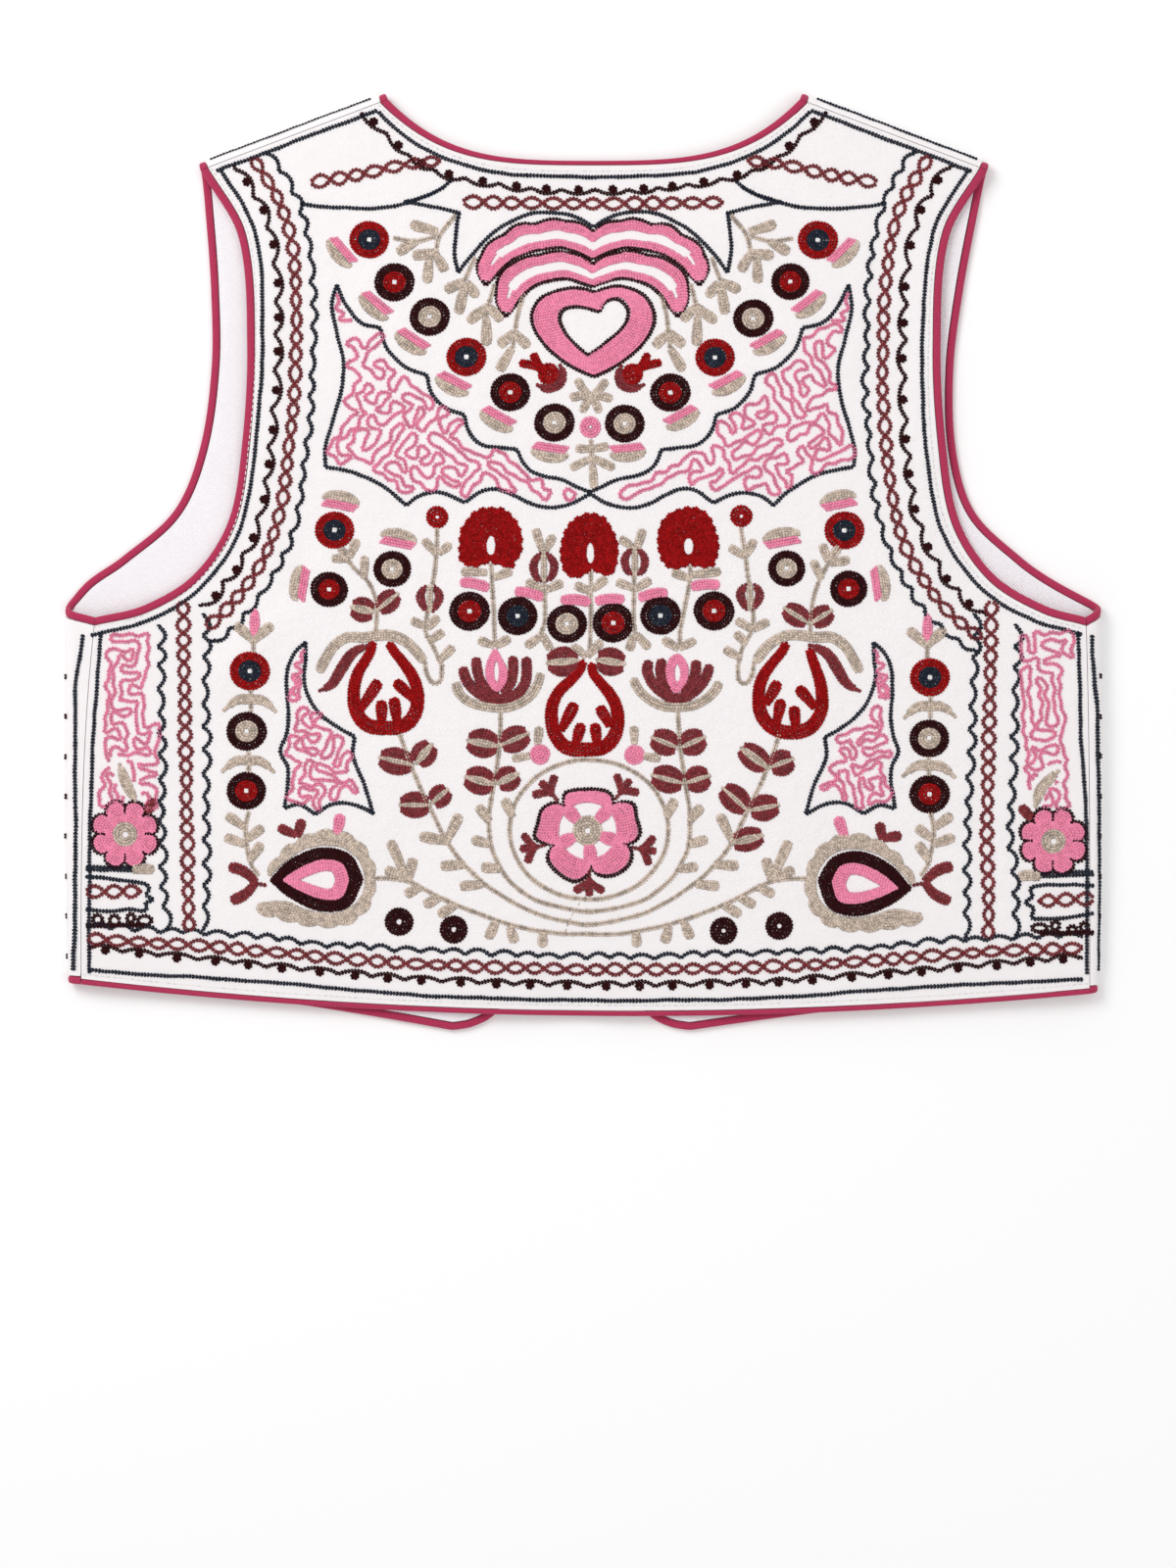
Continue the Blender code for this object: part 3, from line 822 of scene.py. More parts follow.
class Work:
    """A part of the embroidery: rows of stitches in millimetres from the back's centre line, on the back or the fronts."""

    def __init__(self, name, seed, lay=lay_back):
        self.name, self.hand, self.rows = name, np.random.default_rng(seed), []
        self.lay, self.outward = lay, 1 if lay is lay_back else -1

    def sew(self, motif, x=0, y=0, turn=0, both=False):
        """Adds a motif, turned and moved, and its mirror image too if asked. A moved motif strays a little."""
        loose = 1.0 if x or y else 0.0
        for flip in (1, -1) if both else (1,):
            stray = self.hand.normal(0, 1, 4) * (0.35, 0.35, 1.4, 0.015) * loose
            for yarn, kind, line in motif:
                placed = line @ spin(turn + stray[2]) * (1 + stray[3]) + (x + stray[0], y + stray[1])
                placed *= (flip, 1)
                if both:
                    placed[:, 0] += lean(placed[:, 1])
                self.rows.append((yarn, kind, placed))

    def stations(self, kind, line):
        """Middle and way of each stitch along a line that a hand sews."""
        pitch, _, _, reach = STITCHES[kind]
        length = np.hypot(*np.diff(line, axis=0).T).sum()
        count = max(1, round(length / pitch))
        ends = spaced(line, length / count)
        along = np.linspace(0, length, len(ends))
        phase = self.hand.uniform(0, 6.28, 4)
        sway = [np.sin(along / 7 + phase[i]) * 0.6 + np.sin(along / 2.7 + phase[i + 2]) * 0.4 for i in (0, 1)]
        ends = ends + np.column_stack(sway) * reach + self.hand.normal(0, reach / 3, ends.shape)
        return (ends[1:] + ends[:-1]) / 2, np.diff(ends, axis=0)

    def build(self):
        """One object for each yarn."""
        shapes = {kind: stitch_shape(kind) for kind in STITCHES}
        for yarn in YARNS:
            points, triangles, tints, count = [], [], [], 0
            for kind in shapes:
                found = [self.stations(kind, line) for name, k, line in self.rows if name == yarn and k == kind]
                if not found:
                    continue
                middles, ways = (np.vstack(part) for part in zip(*found))
                shape, faces = shapes[kind]
                made = self.stamp(kind, middles, ways, shape)
                points.append(made.reshape(-1, 3))
                starts = count + np.arange(len(middles)) * len(shape)
                triangles.append((starts[:, None, None] + faces[:, :: self.outward]).reshape(-1, 3))
                tints.append(np.repeat(self.hand.uniform(0, 1, len(middles)), len(shape)))
                count += len(middles) * len(shape)
            if points:
                self.add_yarn(yarn, np.vstack(points), np.vstack(triangles), np.concatenate(tints))

    def stamp(self, kind, middles, ways, shape):
        """The stitch shape at every station, on the cloth."""
        place = middles * MM + (BACK_CENTRE, 0)
        heading = ways / np.hypot(*ways.T)[:, None]
        left = np.column_stack((-heading[:, 1], heading[:, 0]))
        level = WALL / 2 - SUNK
        here = self.lay(place, level)
        forward = self.lay(place + heading * MM, level) - here
        sideways = self.lay(place + left * MM, level) - here
        up = np.cross(forward, sideways) * self.outward
        up /= np.linalg.norm(up, axis=1)[:, None]
        _, width, height, _ = STITCHES[kind]
        width = width * self.hand.uniform(0.9, 1.1, len(place))
        height = height * self.hand.uniform(0.85, 1.15, len(place))
        slant = np.where(self.hand.uniform(0, 1, len(place)) < 0.5, -1, 1)
        made = here[:, None] + (shape[:, 0] * np.hypot(*ways.T)[:, None])[..., None] * forward[:, None]
        made += (shape[:, 1] * (width * slant)[:, None])[..., None] * sideways[:, None]
        return made + (shape[:, 2] * height[:, None] * MM)[..., None] * up[:, None]

    def add_yarn(self, yarn, points, triangles, tints):
        name = f"sewn_{self.name}_{yarn}"
        mesh = bpy.data.meshes.new(name)
        mesh.vertices.add(len(points))
        mesh.vertices.foreach_set("co", points.ravel())
        mesh.loops.add(triangles.size)
        mesh.loops.foreach_set("vertex_index", triangles.ravel())
        mesh.polygons.add(len(triangles))
        mesh.polygons.foreach_set("loop_start", np.arange(len(triangles)) * 3)
        mesh.update(calc_edges=True)
        mesh.attributes.new("tint", "FLOAT", "POINT").data.foreach_set("value", tints)
        mesh.shade_smooth()
        mesh.materials.append(shared(f"{yarn}_yarn", yarn_material, getattr(settings(), yarn)))
        piece = show(name, mesh)
        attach(piece, "root")


def rows_of(kind, yarn, *lines):
    """A motif: these lines in one kind of stitch and one yarn."""
    return [(yarn, kind, np.asarray(line, float)) for line in lines]


chain, stalk, fill, dash = (partial(rows_of, kind) for kind in ("chain", "stem", "fill", "dash"))


def curve(*points):
    return dense(points, FINE)


def corners(*points):
    """Straight runs through these points."""
    return np.asarray(points, float)


def oval(turn, x, y, half_width, half_height):
    """Points of an oval at these turns in radians."""
    return np.column_stack((x + half_width * np.cos(turn), y + half_height * np.sin(turn)))


def circle(radius, x=0, y=0):
    turn = np.linspace(0, 2 * math.pi, max(10, round(radius * 5)) + 1)
    return oval(turn, x, y, radius, radius)


def ring(yarn, outer, inner, x=0, y=0):
    """Rows round a ring, or round a disc if the inner radius is 0."""
    count = max(1, round((outer - inner) / ROW))
    step = (outer - inner) / count
    return fill(yarn, *(circle(outer - (i + 0.5) * step, x, y) for i in range(count)))


def between(yarn, outer, inner):
    """Rows that fill the space between two lines, each with the same number of points."""
    gap = np.percentile(np.hypot(*(outer - inner).T), 85)
    count = max(1, math.ceil(gap / ROW))
    return fill(yarn, *(outer + (inner - outer) * (i + 0.5) / count for i in range(count)))


def rounded(gap):
    """Half width near an end that is this many half widths away."""
    return np.sqrt(1 - (1 - np.clip(gap, 0, 1)) ** 2)


# Half width along a blade: t runs from 0 to 1, and the blade is n half widths long
PROFILES = {
    "leaf": lambda t, n: np.sin(math.pi * t) ** 0.75,
    "broad": lambda t, n: np.sin(math.pi * t) ** 0.5,
    "club": lambda t, n: (0.55 + 0.45 * np.clip(t / 0.6, 0, 1)) * rounded((1 - t) * n),
    "bar": lambda t, n: rounded(np.minimum(t, 1 - t) * n),
    "horn": lambda t, n: (1 - 0.5 * t**2) * rounded((1 - t) * n * 2),
}


def blade(yarn, points, width, profile="leaf", middle=None):
    """Rows along a curved leaf, petal or bar. Its middle may have another yarn."""
    line = dense(points, 0.5)
    length = np.hypot(*np.diff(line, axis=0).T).sum()
    half = width / 2 * PROFILES[profile](np.linspace(0, 1, len(line)), 2 * length / width)
    count = max(1, round(width / ROW))
    made = []
    for i in range(count):
        offset = (2 * i + 1) / count - 1
        row = aside(line, offset * half)
        if count > 2 and abs(offset) > 1.2 / count:
            row = row[half * 2 / count > 0.5]
        if len(row) > 2:
            made += fill(middle if middle and abs(offset) < TWO_TONE else yarn, row)
    return made


def mirror(motif):
    return [(yarn, kind, line * (-1, 1)) for yarn, kind, line in motif]


def twice(motif):
    """A motif and its mirror image."""
    return motif + mirror(motif)


def rosette(rim, heart, size=9.2):
    made = ring(rim, size, size * 0.58) + ring(heart, size * 0.58, 1.5) + fill("white", circle(0.85))
    return [(yarn, kind, line * (1, 0.95)) for yarn, kind, line in made]


def moons():
    """A pink band and a taupe half moon beside a rosette, towards -Y."""
    t = np.linspace(-1, 1, 33)
    chord = np.column_stack((t * 8.6, -MOON_REACH - 3.2 + 0 * t))
    bulge = np.column_stack((t * 8, -MOON_REACH - 3.2 - 4.6 * np.sqrt(1 - t**2 * 0.97)))
    band = [np.column_stack((t * 7.6 + (i - 1) * 0.8, -MOON_REACH - i * ROW + 0 * t)) for i in range(3)]
    return fill("pink", *band) + between("taupe", bulge, chord)


def halves(right, left=None):
    """A closed outline from its right half, top to bottom, and its left half or its mirror image."""
    right = count_of(dense(right, 0.4), 90)
    left = right * (-1, 1) if left is None else count_of(dense(left, 0.4), 90)
    return np.vstack((right, left[::-1]))


def heart():
    right = [(0, 18.2), (5, 20.2), (13.5, 21), (24, 16.5), (28.8, 7.5), (26, -3), (14, -14.8), (0, -22.4)]
    left = [(0, 18.2), (-5, 19.8), (-14, 19.8), (-25, 15.8), (-30.2, 8), (-27, -3), (-14.5, -15), (0, -22.4)]
    outer = halves(right, left)
    right = [(2.5, 9), (5.6, 14), (12, 15), (16.6, 8.4), (12.2, -0.2), (-3.1, -12.2)]
    left = [(2.5, 9), (-7, 11.4), (-14.8, 10), (-16.6, 5), (-12.6, -3), (-3.1, -12.2)]
    inner = halves(right, left)
    return between("pink", outer * 0.965, inner * 1.07) + chain("aubergine", outer, inner)


def tier(top, bottom, scallop):
    """Half of a double-lobed band: two pink stripes with bare cloth between them, and aubergine outlines."""
    top, bottom = count_of(dense(top, 0.4), 120), count_of(dense(bottom, 0.4), 120)
    wave = abs(np.sin(np.linspace(0, 1, 120) * math.pi * 5)) ** 0.7 * scallop
    top = aside(top, -wave)
    made = chain("aubergine", top, bottom)
    wide = np.hypot(*(top - bottom).T)
    count = round(wide.max() / ROW)
    for share in np.arange(1, count) / count:
        off = abs(share - 0.51)
        bare = 98 if off < 0.09 else 88 if off < 0.16 else 0
        made += fill("pink", (top + (bottom - top) * share)[bare:][wide[bare:] / count > 0.3])
    return made


def sprig(yarn, stem, leaves, size):
    """A stem with leaves: each leaf from a point on the stem to its tip."""
    made = stalk(yarn, curve(*stem)) if stem else []
    for root, tip in leaves:
        made += blade(yarn, [root, tip], size * 1.15, "club")
    return made


def carnation(rim, slit):
    """A full flower: its rim clockwise from the notch below, and the slit as its middle, half width and half height."""
    rim = count_of(dense([*rim, rim[0]], 0.4), 360)
    share = np.linspace(0, 1, 360)
    rim = aside(rim, 1.6 - 1.9 * abs(np.sin(share * math.pi * 21)) ** 0.6)
    turn = -math.pi / 2 - share * 2 * math.pi
    return between("red", rim, oval(turn, *slit))


def tulip(bowl, petals, drop, slit):
    """A cup of petals in a bowl, with a drop in the middle. The drop is clockwise from its top."""
    made = blade("taupe", bowl, 4.3, "bar")
    for petal in petals:
        made += blade("burgundy", petal, 4.6, "bar")
    drop = count_of(dense([*drop, drop[0]], 0.4), 120)
    turn = math.pi / 2 - np.linspace(0, 2 * math.pi, 120)
    return made + between("pink", drop, oval(turn, *slit))


def pomegranate(left, right, petals):
    """Two horns that meet below, each from there to its tip, and petals between them."""
    parts = [blade("red", side, 6.4, "horn") for side in (left, right)]
    return sum(parts + [blade("red", petal, 5.4, "club") for petal in petals], [])


def two_tone(leaves):
    """Burgundy leaves with a taupe middle, each as its root, its tip and its width."""
    made = [blade("burgundy", [root, tip], width + 0.8, "broad", "taupe") for root, tip, width in leaves]
    return sum(made, [])


def paisley():
    """A drop that points to -X, ringed, with a scalloped rim on its lower and round sides."""
    outer = halves(
        [(-23.2, 0.4), (-13.5, 9.6), (1.6, 15.1), (14.4, 11.2), (20.3, 0)],
        [(-23.2, 0.4), (-14.5, -7.6), (0, -14.3), (13.4, -12.4), (20.3, 0)]
    )
    dark = halves(
        [(-17.4, 0.2), (-9, 5.8), (2, 9.4), (10.4, 7.6), (13.8, 0)],
        [(-17.4, 0.2), (-9, -5), (2, -9), (10, -8.2), (13.8, 0)]
    )
    core = halves(
        [(-10.2, 0.2), (-4, 2.6), (1.5, 4.4), (5.8, 4), (7.4, 0)],
        [(-10.2, 0.2), (-4, -2.2), (1.5, -4), (5.8, -3.8), (7.4, 0)]
    )
    made = between("aubergine", outer, dark) + between("pink", dark, core)
    rim = [(-24, 3), (-20.6, 8.6), (-13.2, 16), (-4, 20.8), (5.4, 22.2), (15, 19.5), (22.5, 11), (24.9, 0)]
    rim += [(22.5, -11), (15, -18.5), (5, -20.9), (-8, -19.8), (-19.6, -16.8), (-29.5, -13.6)]
    inner = [(-23, 2.4), (-18, 7.4), (-10.5, 12.8), (-3, 15.6), (4, 16.2), (12, 14.4), (18.4, 9), (21.2, 0)]
    inner += [(18.8, -8.6), (12, -14), (3, -15.6), (-7, -13.4), (-16.5, -9.6), (-28.6, -10.6)]
    rim, inner = count_of(dense(rim, 0.4), 320), count_of(dense(inner, 0.4), 320)
    wave = abs(np.sin(np.linspace(0, 1, 320) * math.pi * 14)) ** 0.6
    return made + between("taupe", aside(rim, 1.1 - wave * 2.2), inner)


def flower(lobes, eye, patch=0):
    """A pink flower round its own middle: the points of each lobe, clockwise from its notch, and the radius of the eye."""
    outer = np.vstack([dense([*lobe, after[0]], 0.4) for lobe, after in zip(lobes, lobes[1:] + lobes[:1])])
    outer = count_of(outer, 361)
    turn = np.arctan2(outer[:, 1], outer[:, 0])
    inner = np.column_stack((np.cos(turn), np.sin(turn))) * max(eye, patch)
    made = chain("aubergine", outer) + between("pink", outer * 0.955, inner)
    if patch:
        for lobe in lobes:
            angle = math.degrees(math.atan2(lobe[0][1], lobe[0][0]))
            spoke = blade("pink", [(eye - 0.5, 0), (eye / 2 + patch / 2, 0), (patch + 0.6, 0)], 6.6, "club")
            made += [(yarn, kind, line @ spin(angle)) for yarn, kind, line in spoke]
    return made + ring("taupe", eye, 1.7)


def plan(line):
    """A line on the laid back, in metres, as millimetres from the back's centre line."""
    return spaced((line - (BACK_CENTRE, 0)) * 1000, 0.4)


def fitted(length, pitch):
    return length / max(1, round(length / pitch))


def paces(line, pitch):
    """How many pitches lie before each point of a line, kept as a hand keeps them."""
    along = walked(line)
    even = along / fitted(along[-1], pitch)
    return even + 0.06 * np.sin(even * 1.7 + pitch) + 0.04 * np.sin(even * 0.6)


def scallops(yarn, line, pitch, rise):
    """Arches to the right of a line."""
    pace = paces(line, pitch)
    return chain(yarn, aside(line, rise * (1 + 0.15 * np.sin(pace * 1.3)) * abs(np.sin(pace * math.pi)) ** 0.8))


def guilloche(yarn, line, pitch, width):
    """Two strands that cross and part along a line."""
    pace = paces(line, pitch)
    wave = np.sin(pace * math.pi) * (1 + 0.12 * np.sin(pace * 0.9)) * width / 2
    return chain(yarn, aside(line, wave), aside(line, -wave))


def vine(yarn, line, pitch, rise):
    """Long arches to the right of a line, and a dot in each on its left."""
    pace = paces(line, pitch)
    line = aside(line, rise * (abs(np.sin(pace * math.pi)) ** 0.75 - 0.5))
    made = chain(yarn, line)
    for i in range(round(pace[-1])):
        at = min(int(np.searchsorted(pace, i + 0.5)), len(line) - 1)
        centre = line[at] - rights(line)[at] * 2.1
        made += fill(yarn, circle(1.6, *centre), circle(0.55, *centre))
    return made


def clear_of(line, path, gap):
    """The runs of a line that keep this far from a path."""
    clear = np.linalg.norm(line[:, None] - path, axis=2).min(axis=1) > gap
    cuts = np.flatnonzero(np.diff(clear)) + 1
    return [run for run, kept in zip(np.split(line, cuts), np.split(clear, cuts)) if kept[0] and len(run) > 8]


def squiggle(hand, outline, cell, heading):
    """A line that wanders through every cell of a grid in the outline, by walking round a tree through the cells."""
    turned = outline @ spin(heading).T
    low, high = turned.min(0), turned.max(0)
    size = np.ceil((high - low) / cell).astype(int) + 1
    cells = [(i, j) for i in range(size[0]) for j in range(size[1])]
    centres = np.array([(low[0] + i * cell, low[1] + j * cell) for i, j in cells])
    clear = inside(centres, turned) & (distance_to(centres, np.vstack((turned, turned[:1]))) > cell * 0.36)
    left = {c for c, good in zip(cells, clear) if good}
    lines = []
    while left:
        start = left.pop()
        joined, stack = set(), [start]
        while stack:
            at = int(hand.integers(len(stack)))
            i, j = stack[at]
            near = [(i + a, j + b) for a, b in ((1, 0), (0, 1), (-1, 0), (0, -1)) if (i + a, j + b) in left]
            if not near:
                stack.pop(at)
                continue
            following = near[hand.integers(len(near))]
            joined |= {((i, j), following), (following, (i, j))}
            left.discard(following)
            stack.append(following)
        lines.append(around_tree(hand, start, joined, cell) + low)
    return [wandering(hand, dense(line @ spin(heading), FINE)) for line in lines]


def wandering(hand, line):
    """The line with small bends of its own."""
    along, phase = walked(line), hand.uniform(0, 6.28, 2)
    bends = np.sin(along / 1.15 + phase[0]) * 0.55 + np.sin(along / 2.9 + phase[1]) * 0.45
    return aside(line, bends)


def around_tree(hand, start, joined, cell):
    """The closed walk round the tree, keeping it on one hand."""
    # corner: (way that may be joined, corner of the next cell then, corner of this cell otherwise)
    ways = {
        "SE": ((1, 0), "SW", "NE"), "NE": ((0, 1), "SE", "NW"), "NW": ((-1, 0), "NE", "SW"),
        "SW": ((0, -1), "NW", "SE")
    }
    place = {"SE": (0.25, -0.25), "NE": (0.25, 0.25), "NW": (-0.25, 0.25), "SW": (-0.25, -0.25)}
    at, corner = start, "SE"
    points = []
    while True:
        points.append((at[0] + place[corner][0], at[1] + place[corner][1]))
        way, over, same = ways[corner]
        following = (at[0] + way[0], at[1] + way[1])
        if (at, following) in joined:
            at, corner = following, over
        else:
            corner = same
        if (at, corner) == (start, "SE"):
            break
    points = np.array(points) + hand.uniform(-0.16, 0.16, (len(points), 2))
    return np.vstack((points, points[:1])) * cell


class WAISTCOAT_OT_borders(bpy.types.Operator):
    """Sews the outlines, vines and plaited borders round the back"""

    bl_idname = "waistcoat.borders"
    bl_label = "Borders"

    # From the binding inwards
    ARMHOLE = (
        lambda line: chain("navy", line),
        lambda line: vine("aubergine", line, 17.3, 4.2),
        lambda line: guilloche("burgundy", line, 8.4, 5),
        lambda line: scallops("navy", line, 10.4, 3),
    )
    # Each with its distance from the binding in the middle, and how much further it lies at some distances outwards
    HEM = (
        (5.4, (0, 0.3, 0.8, 1.6, 2.2, 1.9, 1.5, 0.7, 0), lambda line: chain("navy", line)),
        (12.8, (0, 0.5, 1, 1.8, 2.3, 3.1, 3, 3.3, 3.3), lambda line: vine("aubergine", line, 16.6, 2.6)),
        (19.7, (0, 0.5, 0.7, 1.1, 1.9, 2.1, 2, 1.2, 0.3), lambda line: guilloche("burgundy", line, 9.2, 5)),
        (24.3, (0, 1.1, 0.9, 0.8, 2.2, 2.5, 2.2, 1.2, 0.4), lambda line: scallops("navy", line, 10.9, 2.7)),
    )

    def execute(self, context):
        work = Work("borders", 11)
        edges = {name: (line, ways) for name, (line, *ways) in back_edges().items()}

        def inset(name, distance):
            line, ways = edges[name]
            placed = plan(aside(line, distance * 0.001, *ways))
            if "armhole" in name:
                placed[:, 0] += lean(placed[:, 1]) + 0.3
            return placed

        for name in edges:
            work.sew(dash("white", inset(name, 3.1)))
        for name, side, insets in (
            ("armhole_back_left", -1, (6.2, 13.4, 21.7, 28)),
            ("armhole_back_right", 1, (5.9, 14.9, 24.1, 30.1)),
        ):
            for distance, drop, reach, motif in zip(insets, (3.4, 3.2, 3.2, 3.2), (999, 182, 180, 178), self.ARMHOLE):
                line = self.below_shoulder(inset(name, distance), side, drop)
                work.sew(motif(line[abs(line[:, 0]) <= reach]))
        for side in (-1, 1):
            inner, outer = (
                (shoulder_seam(side, half) - (BACK_CENTRE, 0)) * 1000 for half in (NECK_HALF, ARMHOLE_HALF_TIP)
            )
            along, down = unit(outer - inner), shoulder(side)[2] * 2.9
            work.sew(chain("navy", spaced((inner + along * 4.6 - down, outer - along * 4.8 - down), 0.5)))
        work.sew(chain("navy", inset("neck_back", 5.8)[10:-10]))
        half = [
            (0, 171.6), (20, 171.9), (40, 173.6), (58, 176.4), (73, 180.3), (85.9, 187.4), (96.3, 197.2), (108, 207.6)
        ]
        whole = [(-x, y) for x, y in half[:0:-1]] + half
        work.sew(vine("aubergine", curve(*whole), 14.5, 2.4))
        work.sew(guilloche("burgundy", curve((-60.6, 166.4), (0, 165.9), (59.8, 166.2)), 9.2, 5.4))
        strap = curve((-131, 175.5), (-112, 178.5), (-92, 183), (-72, 185.6), (-71, 185.7))
        for flip in (1, -1):
            work.sew(guilloche("burgundy", strap * (flip, 1), 8.6, 5.2))

        away = abs(edges["hem_back"][0][:, 0] - BACK_CENTRE) * 1000
        outs = (0, 80, 100, 120, 150, 170, 190, 205, 225)
        for offset, rises, motif in self.HEM:
            line = inset("hem_back", offset + np.interp(away, outs, rises))
            work.sew(motif(line[8:-8]))
        for side in (-1, 1):
            heights = np.arange(-32.5, -191, -0.4)
            inward = 3.6 - (2.4 * np.clip((-78 - heights) / 45, 0, 1) if side > 0 else 0)
            seam = (seam_x(side, heights * 0.001) - BACK_CENTRE) * 1000 - side * inward
            work.sew(chain("navy", np.column_stack((seam, heights))))
        work.build()
        return {"FINISHED"}

    def below_shoulder(self, line, side, drop):
        """The part of a line that is at least this far below the shoulder seam."""
        start, _, out = shoulder(side)
        start = (start - (BACK_CENTRE, 0)) * 1000
        return line[((line - start) * out).sum(1) < -drop]


class WAISTCOAT_OT_yoke(bpy.types.Operator):
    """Sews the heart, the rosettes and the wandering pink lines between the shoulders"""

    bl_idname = "waistcoat.yoke"
    bl_label = "Yoke"

    def execute(self, context):
        work = Work("yoke", 23)
        work.sew(heart(), 0, 107)
        tiers = (
            (
                [
                    (0, 152.6), (6.2, 155.8), (16.4, 157.8), (25.8, 156.2), (35.2, 154.6), (43, 149.5), (50, 144),
                    (52.4, 136.5), (49.5, 128.1)
                ],
                [
                    (0, 140), (7.6, 143.5), (14.9, 145.4), (23.6, 144.6), (33.8, 141.7), (40.5, 137.2), (44.5, 133),
                    (47.5, 130.2), (49.5, 128.1)
                ],
                1.2,
            ),
            (
                [
                    (0, 137.4), (6.2, 141), (14.9, 143.4), (22.2, 142.4), (32.3, 140), (40, 135.6), (43.9, 128.4),
                    (43.5, 120.5), (39.6, 113.5)
                ],
                [
                    (0, 127.4), (4.8, 129), (12, 131.2), (20.7, 130), (27.4, 127.3), (32.2, 123), (35.6, 118.4),
                    (37.8, 115.6), (39.6, 113.5)
                ],
                0.6,
            ),
        )
        for top, bottom, scallop in tiers:
            work.sew(tier(top, bottom, scallop), both=True)
        for rim, centre, x, y, turn, shift in (
            ("red", "navy", 104.2, 149, 46, 2.6),
            ("aubergine", "red", 91.4, 129.6, 40, 0),
            ("aubergine", "taupe", 75.3, 113, 30, 0),
            ("red", "navy", 57.6, 95, 27, 0),
            ("aubergine", "red", 36.6, 78.6, 29, 0),
            ("aubergine", "taupe", 16.4, 64.4, 8, 0),
        ):
            work.sew(rosette(rim, centre), x, y, both=True)
            work.sew(moons(), x + shift, y + shift, turn, both=True)
        arcs = (
            [(118.6, 128.4), (113.4, 117.5), (107, 110.5), (97.7, 108)],
            [(97.7, 108), (95.2, 100), (90.6, 94), (85.2, 89.6), (75.9, 86.2)],
            [(75.9, 86.2), (74.4, 79.5), (70.6, 74.2), (66, 70.6), (58.2, 68.2)],
            [(58.2, 68.2), (56.6, 61), (53, 56), (48.4, 53.4), (41, 52.6), (33.1, 52)],
            [(33.1, 52), (31.5, 47.2), (27.7, 42.4), (21.6, 39.7), (12.7, 37.6), (5.6, 34.4), (0, 32)],
        )
        scallop = np.vstack([dense(part, FINE) for part in arcs])
        rim = [
            (118.6, 128.4), (120.4, 118.5), (117.8, 105), (114.6, 90.5), (115.8, 77.1), (120.2, 61.8), (122.6, 52.1),
            (122.4, 43.7)
        ]
        lower_parts = [
            [(122.4, 43.7), (113.5, 42.2), (104.6, 39.6), (97, 35.8), (90.6, 31.2), (85.1, 25.8)],
            [(85.1, 25.8), (79.4, 30.2), (70.9, 32), (64, 30.4), (57.5, 27.3)],
            [(57.5, 27.3), (50, 32.4), (43, 33.6), (35, 30.6), (27.6, 26.8), (17.6, 24.8), (8, 27), (0, 31.2)],
        ]
        lower_rim = [dense(part, FINE) for part in lower_parts]
        work.sew(chain("navy", dense(rim, FINE), scallop), both=True)
        work.sew(chain("navy", *lower_rim), both=True)
        work.sew(
            chain(
                "pink",
                curve((118.7, 124.5), (117.2, 120.4), (119, 117), (114.9, 114.9), (117.6, 111.8), (110.9, 111.6))
            ),
            both=True
        )
        ground = np.vstack((dense(rim, 2), np.vstack(lower_rim)[::6], scallop[::-6]))
        for flip, heading in ((1, 28), (-1, 52)):
            outline = ground * (flip, 1)
            outline[:, 0] += lean(outline[:, 1])
            for line in squiggle(work.hand, outline, 7.6, heading):
                work.sew(chain("pink", line))
        around = [
            curve(
                (0, 154.9), (5.5, 158.6), (12, 161), (26.5, 161.8), (40, 156.5), (49.7, 149.1), (57, 141),
                (62.5, 133.9)
            ),
            curve((62.5, 133.9), (64, 143), (63.4, 153), (62.1, 161.4)),
            curve((61.2, 161.4), (72, 163.8), (87.5, 166.5)),
            curve(
                (135.8, 165.8), (127, 164.4), (112.3, 163.6), (97.5, 163.9), (84.5, 166.6), (71, 172.3), (65, 177.4)
            ),
        ]
        work.sew(chain("navy", *around), both=True)
        work.sew(chain("navy", curve((69, 173.4), (76, 169.9), (87.5, 166.3))), both=True)
        side_sprigs = (
            (
                [(63.5, 160.7), (71.5, 150.5), (73, 143.2), (75.9, 138.6)],
                [
                    ((72.2, 152.7), (84.6, 156.3)), ((81.7, 148.3), (90.8, 143)), ((72, 143.2), (83.6, 141.5)),
                    ((75.9, 139.6), (76.6, 129)), ((72.8, 142.4), (68.3, 134.4))
                ]
            ),
            ([(73, 150.5), (82.4, 148.3), (92.6, 149.8)], []),
            (
                [(54.8, 141), (59.2, 130.2)],
                [((59.2, 129.8), (68.2, 125.6)), ((59, 129.4), (61.9, 114.6)), ((58.4, 129.2), (53.2, 122.6))]
            ),
            (
                [(45.4, 128.7), (48.3, 117.8), (49, 112.8)],
                [((48.3, 118.2), (57.4, 111)), ((47.8, 117.6), (41.6, 111.8)), ((49, 113), (48.6, 100))]
            ),
            (
                [(31.6, 124.4), (34, 116), (35.5, 107.4), (36.5, 99)],
                [((36, 106), (43, 100)), ((35.5, 105.8), (29, 99.4)), ((36.7, 98.6), (42.8, 88.4))]
            ),
        )
        for stem, leaves in side_sprigs:
            work.sew(sprig("taupe", stem, leaves, 4.1), both=True)
        red_sprig = blade("red", [(0, 3.5), (-6, 6), (-12.8, 7.6)], 3.8, "club")
        red_sprig += blade("red", [(-1.5, 4), (-4.6, 7.6), (-6.4, 12)], 3.8, "club")
        red_sprig += ring("red", 5, 0, 0.8, 2.2)
        red_sprig += blade("burgundy", [(-5, -2.6), (0.4, -4.4), (5.6, -2.2), (7.2, 2.4), (5.8, 6.6)], 4.6)
        work.sew(red_sprig, -20.6, 84.6, both=True)
        wings = blade("taupe", [(0, 0), (3.5, 3.2), (7, 8.2)], 4, "club")
        wings += blade("taupe", [(0, 0), (4.5, 0.4), (10, -0.6)], 4, "club")
